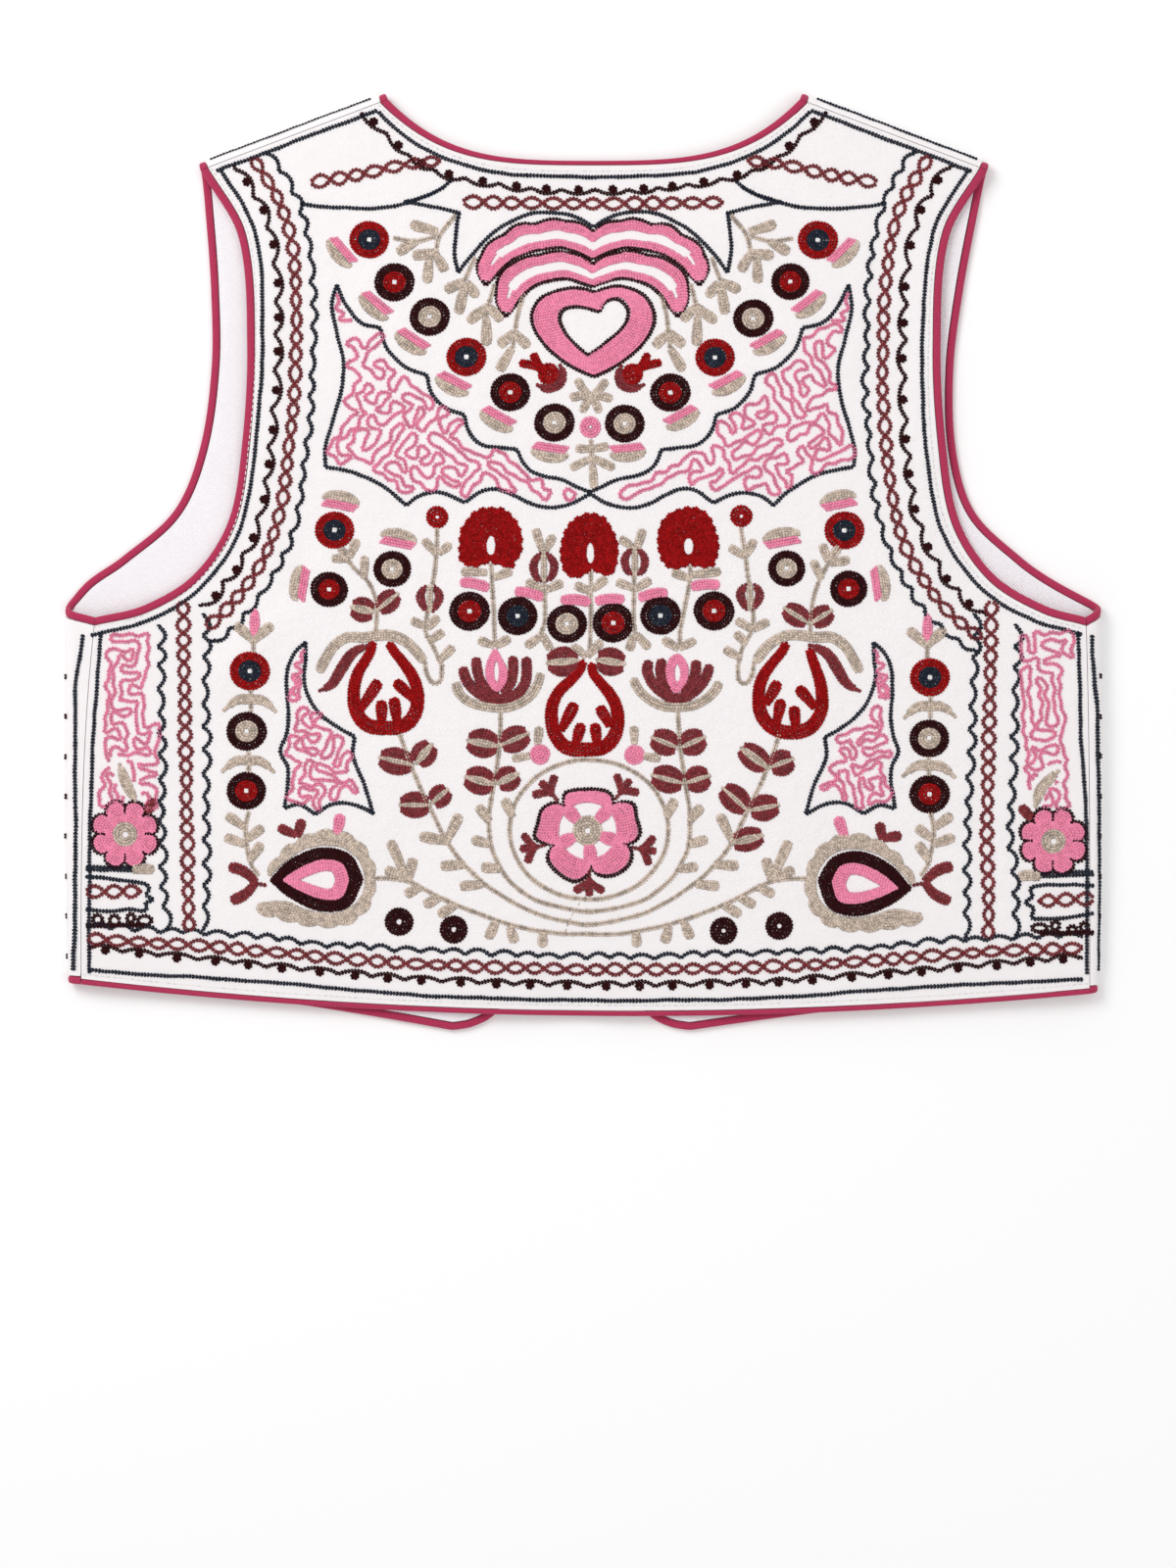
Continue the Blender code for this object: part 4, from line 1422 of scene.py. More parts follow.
        butterfly = twice(wings) + twice(blade("taupe", [(0, 0), (2.4, -3.4), (4.2, -7.4)], 3.6, "club"))
        work.sew(butterfly, -0.6, 77.2)
        work.sew(ring("pink", 5, 1.2) + fill("white", circle(0.5)), -1.4, 61.8)
        leaves = [
            ((-0.8, 48), (-11, 43)), ((-0.6, 48), (9.5, 43.2)), ((-0.6, 45), (0, 33.8)), ((-1, 52), (-8.6, 52.4)),
            ((-1, 52), (6.8, 53.6))
        ]
        work.sew(sprig("taupe", [(-1.3, 56.5), (-1, 50), (-0.5, 42)], leaves, 3.4))
        work.build()
        return {"FINISHED"}


class WAISTCOAT_OT_flowers(bpy.types.Operator):
    """Sews the carnations, tulips, pomegranates and rosettes across the middle"""

    bl_idname = "waistcoat.flowers"
    bl_label = "Flowers"

    def execute(self, context):
        work = Work("flowers", 37)
        for rim, slit in (
            (
                [
                    (-48, -0.3), (-52, -1.4), (-56.1, -2.5), (-61.9, -0.2), (-62.7, 3), (-62.6, 9), (-61.9, 14.5),
                    (-59.2, 18.6), (-56.5, 22.4), (-52.7, 24.6), (-47.2, 25.2), (-41.8, 24.8), (-38.7, 22.2),
                    (-35.6, 18.8), (-33.5, 13.7), (-32.9, 8.9), (-33.5, 3.7), (-36.2, 0.2), (-37.5, -3.1),
                    (-42.6, -1.6)
                ],
                (-47.7, 7.2, 2.2, 5)
            ),
            (
                [
                    (-0.8, -3.7), (-4.8, -6), (-8.6, -7.6), (-13.2, -5.6), (-14.8, -2), (-15.6, 2.9), (-15.5, 7.6),
                    (-14.4, 12.4), (-12.6, 16.2), (-9.9, 19.6), (-3.9, 22.4), (0.7, 22.4), (5, 20.5), (8, 16),
                    (10, 12), (10.9, 9), (11.3, 4), (10.8, -1), (9.6, -4.4), (7.7, -6.5), (3.6, -5.6)
                ],
                (-1.5, 3.6, 1.9, 5.2)
            ),
            (
                [
                    (44.6, -1.3), (41, -2.6), (37.4, -3.6), (33.2, -2.1), (30.4, 2.6), (29.4, 8.8), (30, 15),
                    (32, 19.6), (35.5, 22.7), (40.1, 24.6), (44.4, 25.5), (49.4, 24.6), (52.9, 22), (55.2, 18.1),
                    (57, 13.4), (58, 8.8), (57.4, 3.4), (55.6, -2), (52, -2.7), (48.4, -2.2)
                ],
                (43.9, 6.8, 2.3, 4.3)
            ),
        ):
            work.sew(carnation(rim, slit))
        for leaves in (
            [
                ((-49.5, -5.2), (-61.6, -4.6)), ((-46.4, -7.4), (-37.8, -4.4)), ((-0.8, -14.4), (-8.8, -10.6)),
                ((-0.4, -13), (6, -7.6)), ((45, -8.2), (36, -4.8)), ((44.6, -6.4), (58.8, -4.6))
            ],
            [
                ((-46.2, -39.2), (-53.6, -36.4)), ((-45.8, -39.4), (-38.8, -35.4)), ((39.2, -40.4), (31.8, -36)),
                ((39.6, -40.2), (47.2, -36.4))
            ],
            [((-3.4, -44), (-10.2, -39)), ((-3, -44), (3.8, -37))],
        ):
            work.sew(sprig("taupe", [], leaves, 3.7))
        work.sew(
            stalk(
                "taupe", curve((-47.8, -1), (-46.8, -14), (-46.3, -27), (-46.1, -38.5)),
                curve((-1.4, -4.5), (-1.4, -20), (-2, -43))
            )
        )
        work.sew(stalk("taupe", curve((44.6, -2), (44.2, -10), (42, -22), (40.2, -31), (39.6, -39.5))))
        for x in (-72.6, 68):
            work.sew(ring("red", 5.2, 1.1), x, 20.9)
        for x, y, tall in ((-23.1, -1.9, 13.4), (19.3, -0.8, 12.6)):
            half = blade("burgundy", [(-1.2, tall / 2), (-4.7, 1.2), (-3.6, -tall / 3), (-0.8, -tall / 2)], 3.9)
            work.sew(twice(half) + blade("taupe", [(0, tall / 2), (0, -tall / 2)], 2.6, "bar"), x, y)
        for x in (-76.6, 72.7):
            half = blade("burgundy", [(-1.8, 6.6), (-4.6, 1), (-1.2, -6.4)], 4.2)
            work.sew(twice(half) + blade("taupe", [(0, 6.6), (0, -6)], 3, "bar"), x, -17.2)
        for stem, leaves in (
            (
                [(-23.3, 5), (-23, -8), (-22.6, -20), (-23, -28.5), (-25.2, -35)],
                [
                    ((-24, 5), (-27, 15.2)), ((-22.4, 5), (-18.6, 12.2)), ((-23.6, -12.8), (-31.4, -9.2)),
                    ((-22.4, -13.4), (-14.2, -9.8)), ((-24.4, -34.4), (-31.6, -39.6)), ((-24, -33.8), (-20, -41))
                ]
            ),
            (
                [(19.2, 5), (18.8, -8), (18.4, -20), (18.4, -28), (19.2, -35)],
                [
                    ((19.6, 5.6), (22.8, 15)), ((18.6, 6), (12, 11)), ((18.4, -12.4), (10.4, -9.2)),
                    ((19, -13), (26.4, -8.4)), ((18.6, -34), (16, -41.4)), ((19.8, -33.8), (25.8, -40.4))
                ]
            ),
            (
                [(-72.8, 16), (-72.9, 5), (-74, -6), (-77.2, -24), (-78.2, -32), (-74.2, -40), (-70.3, -48.5)],
                [
                    ((-73, 3.6), (-78.9, 10.2)), ((-72, 3.6), (-66.3, 8.2)), ((-79, -30), (-84.7, -27)),
                    ((-77.3, -31), (-72, -25.4)), ((-76, -36.8), (-69.5, -32.4)), ((-71.5, -46), (-64.9, -39.4))
                ]
            ),
            (
                [
                    (68, 16), (69.6, 5.8), (70.7, -2.9), (72, -10.6), (74, -26), (72.9, -32.5), (69.1, -39.1),
                    (66.9, -47.4)
                ],
                [
                    ((69.8, 2.3), (62.6, 6.8)), ((70.2, 2.3), (74.4, 10.2)), ((73.4, -31.6), (65.8, -27.2)),
                    ((73.4, -31.6), (81.2, -27.6)), ((70.7, -38.4), (65.4, -33)), ((68, -44.8), (60.2, -40.4))
                ]
            ),
            (
                [
                    (-101.2, -33.5), (-100.6, -22), (-101.2, -16.8), (-103.6, -11), (-106.5, -7.1), (-110.9, -3.2),
                    (-114.2, 1.4)
                ],
                [
                    ((-106.3, -8), (-106.2, 2.6)), ((-113.3, 1.8), (-109.4, 10.2)), ((-113.8, 0.9), (-121.6, 1.6)),
                    ((-114.6, 1.6), (-117.4, 6.4))
                ]
            ),
            (
                [(100.2, -33.5), (100.4, -26), (101.5, -18.5), (103.9, -10), (106.4, -5.3), (109, -0.4)],
                [
                    ((105.4, -8.2), (101.4, 0.6)), ((108.4, 0), (105.8, 8.2)), ((109.8, 0.6), (113.6, 7.2)),
                    ((109.6, -1), (118.6, 0.9))
                ]
            ),
        ):
            work.sew(sprig("taupe", stem, leaves, 3.6))
        work.sew(
            two_tone(
                (
                    ((-101.4, -23.6), (-112.9, -21), 11), ((-100.6, -22.8), (-90.4, -14.6), 9.4),
                    ((99.6, -28.6), (87.8, -21.2), 9.6), ((100.4, -28.8), (110.6, -22.4), 9.4)
                )
            )
        )
        work.sew(two_tone((((-6.4, -45.8), (-22.2, -47), 13), ((0.8, -45.4), (14.8, -47.4), 12.6))))
        for rim, centre, size, x, y, turn in (
            ("red", "navy", 9.2, 118.2, 14.3, 191),
            ("aubergine", "taupe", 8.6, 91.2, -3.1, 191),
            ("aubergine", "red", 8.8, 120.6, -12.7, 100),
        ):
            work.sew(rosette(rim, centre, size), x, y, both=True)
            work.sew(moons(), x, y, turn, both=True)
        arc = (
            (-58.2, -22.8, "red"), (-35.4, -25.7, "navy"), (-12.4, -29.3, "taupe"), (8.7, -28.3, "red"),
            (30.7, -25.7, "navy"), (55.3, -22.9, "red")
        )
        for x, y, centre in arc:
            work.sew(rosette("aubergine", centre, 9.4), x, y)
        for x, y, turn in (
            (-55, -10.8, -12), (-29.6, -15.2, -12), (-8.3, -17.9, -3), (7.2, -18, 3), (27.4, -15.2, 10),
            (51.9, -11.3, 3)
        ):
            work.sew(blade("pink", [(-6.8, -0.4), (0, 0.4), (6.8, -0.4)], 4.6, "bar"), x, y, turn)
        for parts in (
            (
                [
                    (-64.2, -55.8), (-62, -61.7), (-56.6, -65.5), (-49, -67.5), (-41.5, -67.7), (-34.8, -65.8),
                    (-28.9, -61.7), (-26, -56.7), (-24.5, -51.6)
                ],
                (
                    [
                        (-60.9, -48.8), (-59.4, -54.2), (-56.2, -58.8), (-51.5, -62.3), (-45.7, -63.7),
                        (-39.8, -63.4), (-35.2, -61), (-32, -56.7), (-31.1, -50.8), (-31.3, -44.4)
                    ],
                    [(-54.6, -44.4), (-54.1, -50), (-52, -56.7), (-48.2, -61), (-44, -62.4)],
                    [(-37.7, -43.9), (-37.3, -50), (-38.8, -56.7), (-42.6, -61)],
                ),
                [
                    (-45.7, -40.1), (-42.7, -45.4), (-40, -50.8), (-41, -56.9), (-44.8, -60.6), (-49, -56.2),
                    (-50, -50), (-48.2, -44.1)
                ],
                (-45, -51, 1.4, 5.4),
            ),
            (
                [
                    (18, -54), (20.6, -59.2), (25.6, -64), (32.3, -67), (39, -67.5), (45.7, -66.9), (51.6, -64),
                    (56, -60), (58.2, -55.6)
                ],
                (
                    [
                        (25.5, -45.8), (24.7, -50.8), (26.8, -55.8), (31, -60.3), (36.5, -63.4), (43, -62.6),
                        (48.2, -58.6), (52, -53.3), (53.9, -47.8)
                    ],
                    [(31.7, -45), (30.8, -50), (32.3, -56.7), (35.7, -61.2)],
                    [(47.5, -45.8), (47, -51.7), (44.9, -57.5), (41, -61.6)],
                ),
                [
                    (39, -42.8), (42, -45.4), (43.8, -50.4), (42.6, -56.4), (37.9, -61.2), (34.2, -56.4), (33.3, -50),
                    (35.7, -44.3)
                ],
                (38.7, -51.8, 1.6, 4.6),
            ),
        ):
            work.sew(tulip(*parts))
        pomegranates = (
            (
                [
                    (-96.8, -77.3), (-103.5, -76.4), (-107.9, -73.2), (-110.6, -67.6), (-111.2, -59), (-109, -51.3),
                    (-106, -46.3), (-103.3, -41.2), (-102.4, -36.6)
                ],
                [
                    (-97.6, -77.3), (-91, -76.9), (-85.4, -74.2), (-82.2, -68.8), (-81.6, -61), (-83.6, -54),
                    (-88, -47.4), (-92.2, -42.1), (-95.4, -37.2)
                ],
                (
                    ((-108.2, -68.8), (-99.4, -55.2)), ((-82.8, -64.4), (-92.2, -55.4)),
                    ((-98.3, -76.5), (-98.3, -64.4)), ((-91, -75.8), (-92.6, -63))
                ),
            ),
            (
                [
                    (-3.4, -87.2), (-12.2, -86.4), (-17, -82), (-19.4, -75), (-19.2, -66.4), (-15.9, -60),
                    (-11, -55.3), (-6.6, -50.3), (-4.6, -45.4)
                ],
                [
                    (-4.4, -87.2), (3.6, -86.6), (8.6, -82.4), (11, -76), (10.4, -67.4), (7.2, -61.2), (3.2, -56.4),
                    (-0.2, -51.9), (-1.3, -46.6)
                ],
                (
                    ((-15.2, -78.4), (-8.6, -65.6)), ((7.6, -76.4), (2.4, -67)), ((-8.8, -85.4), (-5.6, -75)),
                    ((1.6, -85.4), (0.4, -75))
                ),
            ),
            (
                [
                    (93.2, -79.5), (86.4, -78.7), (81.1, -75.8), (77.4, -70.4), (76.3, -63.4), (77, -57),
                    (79.4, -51.5), (83, -46.9), (87, -42), (89.4, -37.2)
                ],
                [
                    (92.4, -79.5), (99.1, -77.7), (102.9, -74.1), (105.5, -68.2), (105.6, -60.7), (104, -53.1),
                    (101.7, -46.6), (99.7, -39.9)
                ],
                (
                    ((79.6, -66.4), (85.6, -55.6)), ((102.6, -67.8), (94.4, -58.2)), ((84.6, -75.4), (86.8, -63.8)),
                    ((93.4, -77), (92.7, -67))
                ),
            ),
        )
        work.sew(sum((pomegranate(*parts) for parts in pomegranates), []))
        band = [
            (125.4, -51.4), (122.4, -45.4), (118.4, -39.2), (112.4, -35.2), (104.4, -35.2), (97, -34.2), (91, -34.4),
            (83.6, -38.2), (76.6, -46.4)
        ]
        work.sew(blade("taupe", band, 4.5, "bar"), both=True)
        loop = [(76.4, -46), (75.3, -52.4), (72.4, -56.6), (69.2, -55.2), (68.5, -47.6)]
        work.sew(stalk("taupe", curve(*loop)), both=True)
        work.sew(
            blade(
                "burgundy",
                [(125.6, -60.2), (119.4, -56.9), (114.8, -49.6), (110, -42.6), (104.6, -39.6), (101.2, -38.6)], 5.4
            ),
            both=True
        )
        work.build()
        return {"FINISHED"}


class WAISTCOAT_OT_vines(bpy.types.Operator):
    """Sews the round flower, its trailing stems and the paisley drops above the hem"""

    bl_idname = "waistcoat.vines"
    bl_label = "Vines"

    def execute(self, context):
        work = Work("vines", 53)
        lobes = [
            [(-10.4, 11.4), (-10.4, 17.4), (-7, 18.9), (0.6, 19.3), (8.2, 18.6), (11.6, 16.6)],
            [(12.2, 11.6), (16.8, 13.2), (22.2, 11.8), (23.4, 5), (24.8, -1.4), (21.9, -5.7)],
            [(15.4, -6.3), (20, -9), (20, -15), (15.5, -19.8), (9, -21.8), (3.6, -20.2)],
            [(1.3, -15.6), (-0.8, -20.8), (-6, -23.8), (-12.3, -21.2), (-17.2, -16.2), (-18.9, -12.2), (-17.4, -8.6)],
            [(-14.6, -6.6), (-20.6, -5.4), (-25, -2.8), (-23.4, 4), (-21.6, 10), (-16.1, 13.3)],
        ]
        work.sew(flower(lobes, 7, 13.6), -3, -124.4)
        trefoil = chain("burgundy", corners((0, -7.5), (0, -2)))
        trefoil += blade("burgundy", [(0, -3.6), (0, 1), (0, 4.8)], 3.6, "club")
        trefoil += twice(blade("burgundy", [(0, -2.4), (3, 0.2), (7, 2.4)], 3.6, "club"))
        for x, y, turn in (
            (-21.2, -105.6, 40), (13.6, -104.8, -38), (-29.8, -132.6, 100), (24.4, -133.2, -100), (-2.8, -150.6, 180)
        ):
            work.sew(trefoil, x, y, turn)
        work.sew(stalk("taupe", oval(np.linspace(0, 2 * math.pi, 280), -2.3, -124.2, 36.8, 32.4)))
        work.sew(dash("taupe", curve((-13.4, -172.3), (-10.8, -165), (-9, -162.4), (-6.3, -157.6))))
        stems = (
            [
                (88, -80), (84.2, -91), (79.6, -102), (73, -116), (65.8, -130.4), (57.4, -141), (45, -152),
                (25.8, -162.6), (4, -168), (-2, -168.2)
            ],
            [
                (41, -69), (41.9, -86), (44.4, -103.5), (46.4, -116), (46.1, -129.9), (43.4, -138), (36.6, -148.4),
                (24, -157.2), (4, -162), (-2, -162.2)
            ],
            [
                (101.9, -146.8), (92, -146.9), (82.4, -148.9), (68.5, -156), (53.7, -162.4), (35.1, -168.6),
                (13.9, -172.4), (-2, -172.6)
            ],
        )
        for stem in stems:
            work.sew(stalk("taupe", curve(*stem)), both=True)
        leaves = (
            [((66, -129.4), (60, -117.2)), ((57.6, -140.4), (69, -141)), ((49.5, -149.6), (60, -150.4))],
            [((46.4, -120.4), (51.9, -113.2)), ((46.4, -131), (54.6, -128.6)), ((41.4, -142.6), (50.2, -141.4))],
            [
                ((84.4, -147.4), (92.4, -129.4)), ((84, -147.6), (81.6, -137.4)), ((84.5, -147.2), (94.6, -142.6)),
                ((78, -150.8), (85.4, -154.5)), ((69.4, -155.6), (76.6, -159.4)), ((62, -159), (70, -163.8)),
                ((43.4, -166.6), (47, -174.8)), ((37, -169), (34.6, -176.8)), ((21.6, -171.6), (21.8, -178.6))
            ],
            [((35.6, -118.4), (39.6, -110))],
        )
        for group in leaves:
            work.sew(sprig("taupe", [], group, 3.9), both=True)
        work.sew(sprig("taupe", [], [((-67.2, -129.8), (-80.6, -127.2))], 4.4))
        work.sew(two_tone((
                ((-43.8, -85.6), (-59.2, -82.8), 13), ((-43.6, -85.4), (-30, -79.4), 11.6),
                ((-45.4, -103.4), (-60.2, -99.6), 12.4), ((-45.2, -103.2), (-34.6, -98), 11),
                ((-83.2, -94.4), (-99.8, -90.6), 12), ((-82.6, -94), (-74.8, -84.2), 11),
                ((-75.6, -112.8), (-90.4, -112.8), 11.4), ((-75.4, -112.2), (-67.2, -105.2), 9.8),
                ((39.2, -86.4), (26.4, -81.2), 11.6), ((39.8, -86.4), (51.8, -81.2), 11.8),
                ((41.8, -102.8), (26.4, -99), 12.2), ((42.2, -102.8), (54, -99), 11.8),
                ((80.8, -95.8), (67.8, -86), 10.8), ((81.2, -95.6), (92.6, -91.2), 11.6),
                ((71.4, -115.4), (59.4, -104.6), 11.4), ((71.8, -115.4), (86, -112.8), 11.6),
                ((63.8, -130.6), (78.8, -126.8), 10.6),
        )))
        for x in (-25.6, 18.7):
            work.sew(ring("pink", 4.6, 0), x, -89.2)
        work.sew(
            sprig(
                "taupe", [],
                [
                    ((-26, -85), (-25.4, -76.4)), ((-29.6, -90), (-38, -91.4)), ((18.8, -84.6), (18.6, -76.2)),
                    ((22.8, -90), (31, -91.4))
                ],
                3.6
            )
        )
        for x, y in ((-89.8, -167.2), (-64.9, -170.7), (60.1, -170.9), (86, -169.1)):
            work.sew(ring("aubergine", 6.4, 1.4), x, y)
        drop = paisley()
        work.sew(drop, -128, -147.6)
        work.sew(mirror(drop), 124, -149.8, -4)
        point = twice(blade("burgundy", [(0, 0), (5.5, 5.5), (8.2, 12.4)], 5.2, "club"))
        work.sew(point, 155, -148.6, -92, both=True)
        work.sew(chain("burgundy", corners((149.5, -149.9), (156, -149))), both=True)
        for yarn, *petals in (
            ("burgundy", (-137.8, -126.8, -146.2, -123, 4.4), (-137.2, -127.6, -135.3, -119.4, 4.8)),
            ("burgundy", (133.8, -128.8, 132.2, -121, 4.8), (133.8, -128.2, 142.4, -127, 4.6)),
            ("pink", (-119.2, -126.6, -117.2, -117, 5.2), (116.4, -127.6, 112.8, -118.4, 5.2)),
        ):
            work.sew(sum((blade(yarn, [petal[:2], petal[2:4]], petal[4], "club") for petal in petals), []))
        work.build()
        return {"FINISHED"}


# The two scalloped columns and the plaited one at each side, from top to bottom
SIDE_COLUMNS = {
    -1: (
        ((-181.6, -24), (-181.6, -171.2)),
        ((-202.4, -29), (-201.9, -148), (-198.2, -171.2)),
        ((-190.4, -18.5), (-187.6, -171.2)),
    ),
    1: (
        ((175.6, -24), (170.2, -140), (171.4, -174.8)),
        ((194.6, -29), (190.7, -128), (193.2, -150), (194.2, -174.8)),
        ((184.2, -18.5), (181.9, -130), (182.9, -158), (182.6, -174.6)),
    ),
}
# Below each side's flower: the tab, the foot, the ends and heights of the paired lines, the plait, and the loops
SIDE_TABS = {
    -1: (
        (
            (-235.2, -146), (-229, -146.3), (-222, -147.4), (-214, -148), (-207.6, -149.2), (-205.4, -151.2),
            (-207.4, -154.4), (-203.4, -156.8),
            (-208.2, -158.4), (-206.6, -160.8), (-208, -162.2), (-215, -161), (-223, -162.1), (-230, -161.4),
            (-235.2, -161),
        ),
        (-208.4, -142.4),
        (-235.2, -213.6, -141.4, -142),
        ((-235, -153.2), (-209.6, -152.6)),
        ((-229.5, -165.8, 2.3, 2.6), (-222, -166.3, 2.5, 2.4), (-214.4, -165.2, 2, 2.3), (-207.9, -166.2, 3.4, 2.2)),
    ),
    1: (
        (
            (231.4, -150.2), (222, -149.6), (210, -149.6), (203, -150.8), (201.6, -152.4), (203.6, -155),
            (199, -158.2), (203.8, -160.4),
            (202.2, -165.4), (212, -165.5), (222, -164.6), (231.4, -163),
        ),
        (202.2, -146.2),
        (231.4, 206, -143.6, -144.6),
        ((231.2, -156.2), (205.8, -157.2)),
        ((227, -169.4, 2, 2.2), (221.4, -170.4, 2.2, 1.6), (213.6, -168.7, 2, 2.2), (206.4, -169.9, 3.7, 1.9)),
    ),
}


class WAISTCOAT_OT_sides(bpy.types.Operator):
    """Sews the columns, horns and panels at the sides of the back"""

    bl_idname = "waistcoat.sides"
    bl_label = "Side panels"

    def execute(self, context):
        work = Work("sides", 71)
        bud = twice(blade("taupe", [(0, -7.5), (4, -3.8), (8.6, 0.2)], 4.4, "club"))
        bud += blade("pink", [(0, -6), (0.4, 0.5), (0.6, 7.4)], 4.6)
        for x, y in ((-157.5, -29.5), (154.3, -31.5)):
            work.sew(bud, x, y)
            work.sew(stalk("taupe", corners((x, y - 5), (x, y - 13))))
        yarns = (("red", "navy"), ("aubergine", "taupe"), ("aubergine", "red")) * 2
        spots = (-159.5, -50.6), (-160.5, -79.1), (-161.2, -106.2), (156.1, -53.7), (155.3, -82.5), (155.3, -108.1)
        for (x, y), (rim, centre) in zip(spots, yarns):
            work.sew(rosette(rim, centre), x, y)
        for x, y in ((-159, -65), (-160, -93.6), (155.8, -68), (155.2, -95.6)):
            work.sew(blade("taupe", [(-12.4, -4.4), (-6, 0.8), (0, 1.2), (6, 0.8), (12.4, -4.4)], 4.4), x, y)
            work.sew(stalk("taupe", corners((x, y + 5.6), (x, y - 4.6))))
        sprigs = [
            ((160, -123), (168, -117.4)), ((158.6, -128.6), (151.4, -123)), ((159.6, -131), (169, -127.6)),
            ((157.4, -139), (152, -130.5))
        ]
        work.sew(
            sprig(
                "taupe", [(157.6, -115.7), (159.4, -124), (158.6, -133), (156.6, -141), (153.4, -145.6)], sprigs, 3.9
            ),
            both=True
        )

        outer = [
            (131.4, -37.4), (136.6, -42), (139.8, -49.4), (140.2, -60.5), (139.4, -71), (140.6, -80.4), (143.3, -88),
            (139.8, -95.4), (139.8, -104.6), (141.4, -114.4)
        ]
        bottom = [
            [(141.4, -114.4), (134.4, -112.8), (127, -117)],
            [(127, -117), (119.8, -112.6), (113, -111.8), (106.6, -113.4), (100.1, -117.1)]
        ]
        inner = [(100.1, -117.1), (102.6, -108.6), (105, -101.2), (108.4, -94), (109.9, -88.6), (108.8, -81.2)]
        rise = [
            (108.8, -81.2), (115.8, -77.5), (124.4, -71), (130, -63), (132.4, -54), (131.8, -45.8), (131.4, -37.4)
        ]
        edges = (outer, *bottom, inner, rise)
        work.sew(chain("navy", *(dense(part, FINE) for part in edges)), both=True)
        horn = np.vstack([dense(part, 1.6) for part in edges])
        tip = [
            (131.6, -40.5), (133.6, -43.2), (132.6, -46.4), (137, -47.8), (132.8, -51.2), (138.2, -53.4),
            (134, -57.2), (138.8, -59.6), (133.6, -63.2)
        ]
        work.sew(chain("pink", curve(*tip)), both=True)
        for flip in (1, -1):
            for line in squiggle(work.hand, horn * (flip, 1) + (lean(-80), 0), 6.4, 17 * flip):
                work.sew(chain("pink", line))

        petals = []
        for i in range(8):
            angles = np.radians(90 - 45 * i - np.array((0, 7, 17, 28, 38)))
            petals.append([(r * math.cos(a), r * math.sin(a)) for r, a in zip((11.6, 14.8, 16, 16, 14.8), angles)])
        for side in (-1, 1):
            columns = SIDE_COLUMNS[side]
            for column in columns[:2]:
                work.sew(scallops("navy", spaced(column, 0.4), 10.5, -3.7))
            work.sew(guilloche("burgundy", spaced(columns[2], 0.4), 7.4, 5.6))
            edge = abs(seam_x(side, WIDEST_Y) * 1000 - BACK_CENTRE * 1000) - 5.8
            near = 201.2 if side < 0 else 196.6
            panel = [(near, -33), (edge, -32), (edge, -118), (214, -113), (near, -119)]
            outline = spaced(np.array(panel + panel[:1]), 2) * (side, 1)
            x, y = (-217, -126.2) if side < 0 else (212.4, -129.3)
            leaf = [(5, 15), (0.4, 23), (-3.4, 33)] if side < 0 else [(-9, 15), (-6.4, 24), (1.4, 32.6)]
            for line in squiggle(work.hand, outline, 6.9, 3 * side):
                for run in clear_of(line, dense(leaf, 1) + (x, y), 3.6):
                    work.sew(chain("pink", run))
            work.sew(flower(petals, 5.8), x, y)
            for i in range(8):
                reach = np.linspace(9.0 + 2.2 * (i % 2), 13.6, 8)[:, None]
                angle = math.radians(90 - 45 * i)
                work.sew(rows_of("satin", "aubergine", reach * (math.cos(angle), math.sin(angle)) + (x, y)))
            work.sew(blade("taupe", leaf, 4.8), x, y)
            bud = [(-1.8, -3.2), (1.8, 3.8)] if side < 0 else [(2.6, -2.8), (-3, 3.2)]
            work.sew(blade("burgundy", bud, 4.8, "bar"), x - 11.6 * side, y + 12.8)
            tab, (foot, drop), (start, end, high, low), plait, loops = SIDE_TABS[side]
            work.sew(blade("taupe", [(-5.2, 0), (0, 0.6), (5.2, 0)], 4.4, "bar"), foot, drop)
            work.sew(
                chain("navy", corners((start, high), (end, low)), corners((start, high - 1.3), (end, low - 1.2)))
            )
            work.sew(chain("navy", spaced(tab, 0.5)))
            work.sew(guilloche("burgundy", spaced(plait, 0.4), 8, 5.2))
            base, last = loops[0][1] - 2.4, loops[-1][0]
            work.sew(chain("aubergine", *(corners((start, height), (last, height)) for height in (base, base - 0.7))))
            for loop in loops:
                work.sew(chain("aubergine", oval(np.linspace(0, 2 * math.pi, 25), *loop)))
        work.build()

        wraps = Work("wraps", 89, lay_front)
        for side, out in (
            (-1, (231.4, 232.6, 234.6, 235, 234.8, 235.6)), (1, (235.4, 235.7, 236.4, 237.6, 238.8, 238.8))
        ):
            heights = np.arange(-34, -190, -0.4)
            reach = np.interp(-heights, (34, 44, 55, 72, 140, 190), out)
            self.wrapped(wraps, "navy", side, reach, heights)
            for i in range(8):
                height = np.linspace(-52 - 18.5 * i, -54.4 - 18.5 * i, 7)
                self.wrapped(wraps, "aubergine", side, np.full(7, 239.2), height)
            start, along, over = shoulder(side)
            shares = np.linspace(0.004, math.dist(SHOULDER_NECK, SHOULDER_TIP) - 0.004, 200)[:, None]
            wraps.sew(chain("navy", (start + along * shares + over * SHOULDER_FOLD * 1.9 - (BACK_CENTRE, 0)) * 1000))
        wraps.build()
        return {"FINISHED"}

    def wrapped(self, work, yarn, side, reach, heights):
        """A line on the part of a front that turns over the side. It is this far from X = 0 once it is laid."""
        y = heights * 0.001
        flat = side * (2 * bend_x(y) + math.pi * side_fold(y) - reach * 0.001)
        work.sew(chain(yarn, np.column_stack(((flat - BACK_CENTRE) * 1000, heights))))


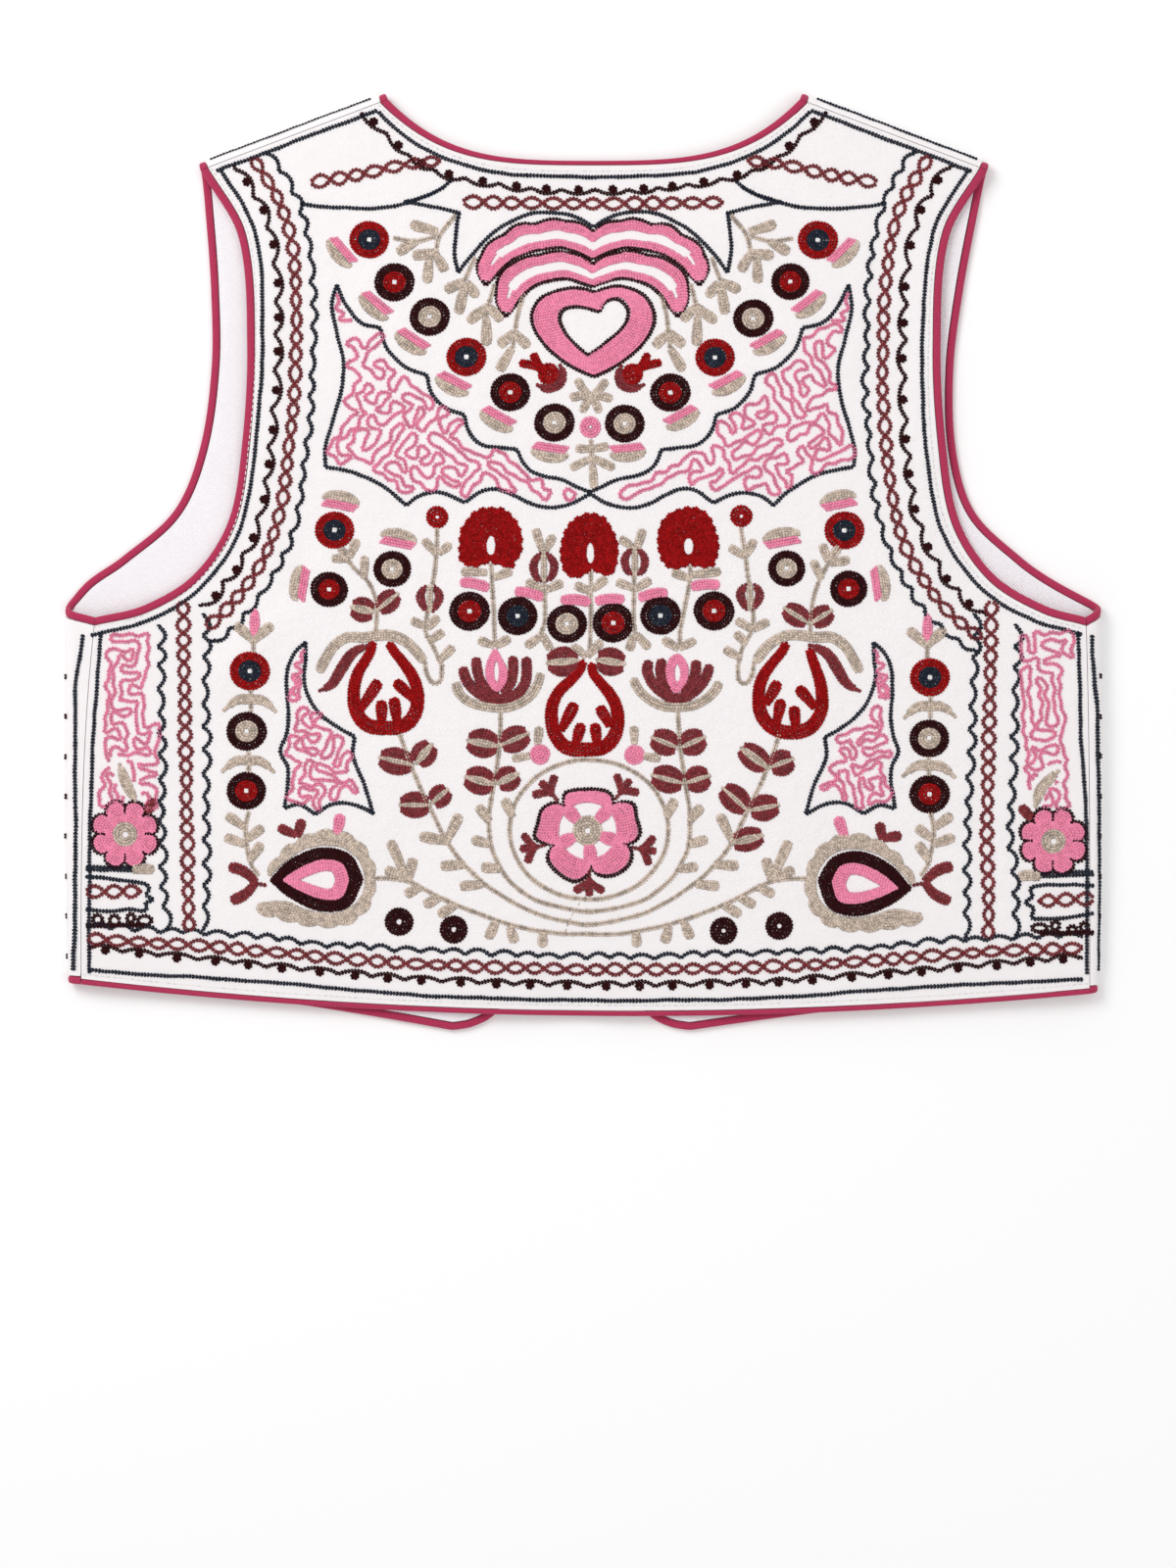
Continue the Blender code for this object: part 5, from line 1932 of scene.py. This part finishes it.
class WAISTCOAT_OT_cut(bpy.types.Operator):
    """Gathers each sheet of cloth, the outline it was cut to and what is sewn on it, but states none of it"""

    bl_idname = "waistcoat.cut"
    bl_label = "Cut of the cloth"

    def execute(self, context):
        shown = [piece for piece in bpy.data.objects if piece.name.startswith(("edge_", "sewn_"))]
        sewn = [piece for piece in shown if "front" not in piece.name]
        self.declare("back_cloth", back_outline(), ["lining_left", "lining_right"], sewn)
        for name, side in SIDES.items():
            sewn = [piece for piece in shown if "front" in piece.name and name in piece.name]
            self.declare(f"front_{name}_cloth", front_outline(side)[0], ["floor"], sewn)
            self.declare(f"lining_{name}", lining_outline(side), [f"front_{name}_cloth"], [])
        return {"FINISHED"}

    def declare(self, name, outline, rests_on, sewn):
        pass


class WAISTCOAT_OT_stage(bpy.types.Operator):
    """Adds a pale floor, soft studio light and a camera straight above"""

    bl_idname = "waistcoat.stage"
    bl_label = "Stage"

    def execute(self, context):
        scene = context.scene
        floor = bmesh.new()
        bmesh.ops.create_grid(floor, x_segments=1, y_segments=1, size=3)
        for vert in floor.verts:
            vert.co.z = -0.0004
        mesh = bpy.data.meshes.new("floor")
        floor.to_mesh(mesh)
        floor.free()
        pale = Finish("pale_floor", 1.0)
        pale.surface.inputs["Base Color"].default_value = (0.97, 0.97, 0.97, 1.0)
        pale.surface.inputs["Specular IOR Level"].default_value = 0.0
        mesh.materials.append(pale.material)
        stage = show("floor", mesh)

        world = bpy.data.worlds.new("studio")
        world.use_nodes = True
        sky = world.node_tree.nodes["Background"].inputs
        sky["Color"].default_value = (1.0, 1.0, 1.0, 1.0)
        sky["Strength"].default_value = 0.69
        scene.world = world
        for name, place, size, energy in (
            ("key", (-0.9, 0.8, 1.3), 0.9, 14.0),
            ("fill", (1.0, -0.6, 1.6), 1.4, 5.0),
        ):
            light = bpy.data.lights.new(name, "AREA")
            light.size = size
            light.energy = energy
            lamp = show(name, light)
            lamp.location = place
            lamp.rotation_euler = (-Vector(place)).to_track_quat("-Z", "Y").to_euler()

        lens = bpy.data.cameras.new("camera")
        lens.sensor_fit = "HORIZONTAL"
        lens.sensor_width = 36
        lens.lens = 145
        scene.camera = show("camera", lens)
        scene.camera.location = (0.0023, -0.1031, 2.2)
        scene.view_settings.view_transform = "Standard"
        return {"FINISHED"}


class WAISTCOAT_PT_panel(bpy.types.Panel):
    """Builds the waistcoat piece by piece"""

    bl_label = "Folk waistcoat"
    bl_idname = "WAISTCOAT_PT_panel"
    bl_space_type = "VIEW_3D"
    bl_region_type = "UI"
    bl_category = "Waistcoat"

    def draw(self, context):
        for name in WaistcoatSettings.__annotations__:
            self.layout.prop(context.scene.waistcoat, name)
        for operator in OPERATORS:
            self.layout.operator(operator.bl_idname)


OPERATORS = (
    WAISTCOAT_OT_cloth,
    WAISTCOAT_OT_lining,
    WAISTCOAT_OT_binding,
    WAISTCOAT_OT_borders,
    WAISTCOAT_OT_yoke,
    WAISTCOAT_OT_flowers,
    WAISTCOAT_OT_vines,
    WAISTCOAT_OT_sides,
    WAISTCOAT_OT_cut,
    WAISTCOAT_OT_stage,
)


def register():
    for kind in (WaistcoatSettings, *OPERATORS, WAISTCOAT_PT_panel):
        bpy.utils.register_class(kind)
    bpy.types.Scene.waistcoat = bpy.props.PointerProperty(type=WaistcoatSettings)


def unregister():
    del bpy.types.Scene.waistcoat
    for kind in (WAISTCOAT_PT_panel, *reversed(OPERATORS), WaistcoatSettings):
        bpy.utils.unregister_class(kind)


def main():
    register()
    for operator in OPERATORS:
        getattr(bpy.ops.waistcoat, operator.bl_idname.split(".")[1])()


if __name__ == "__main__":
    main()
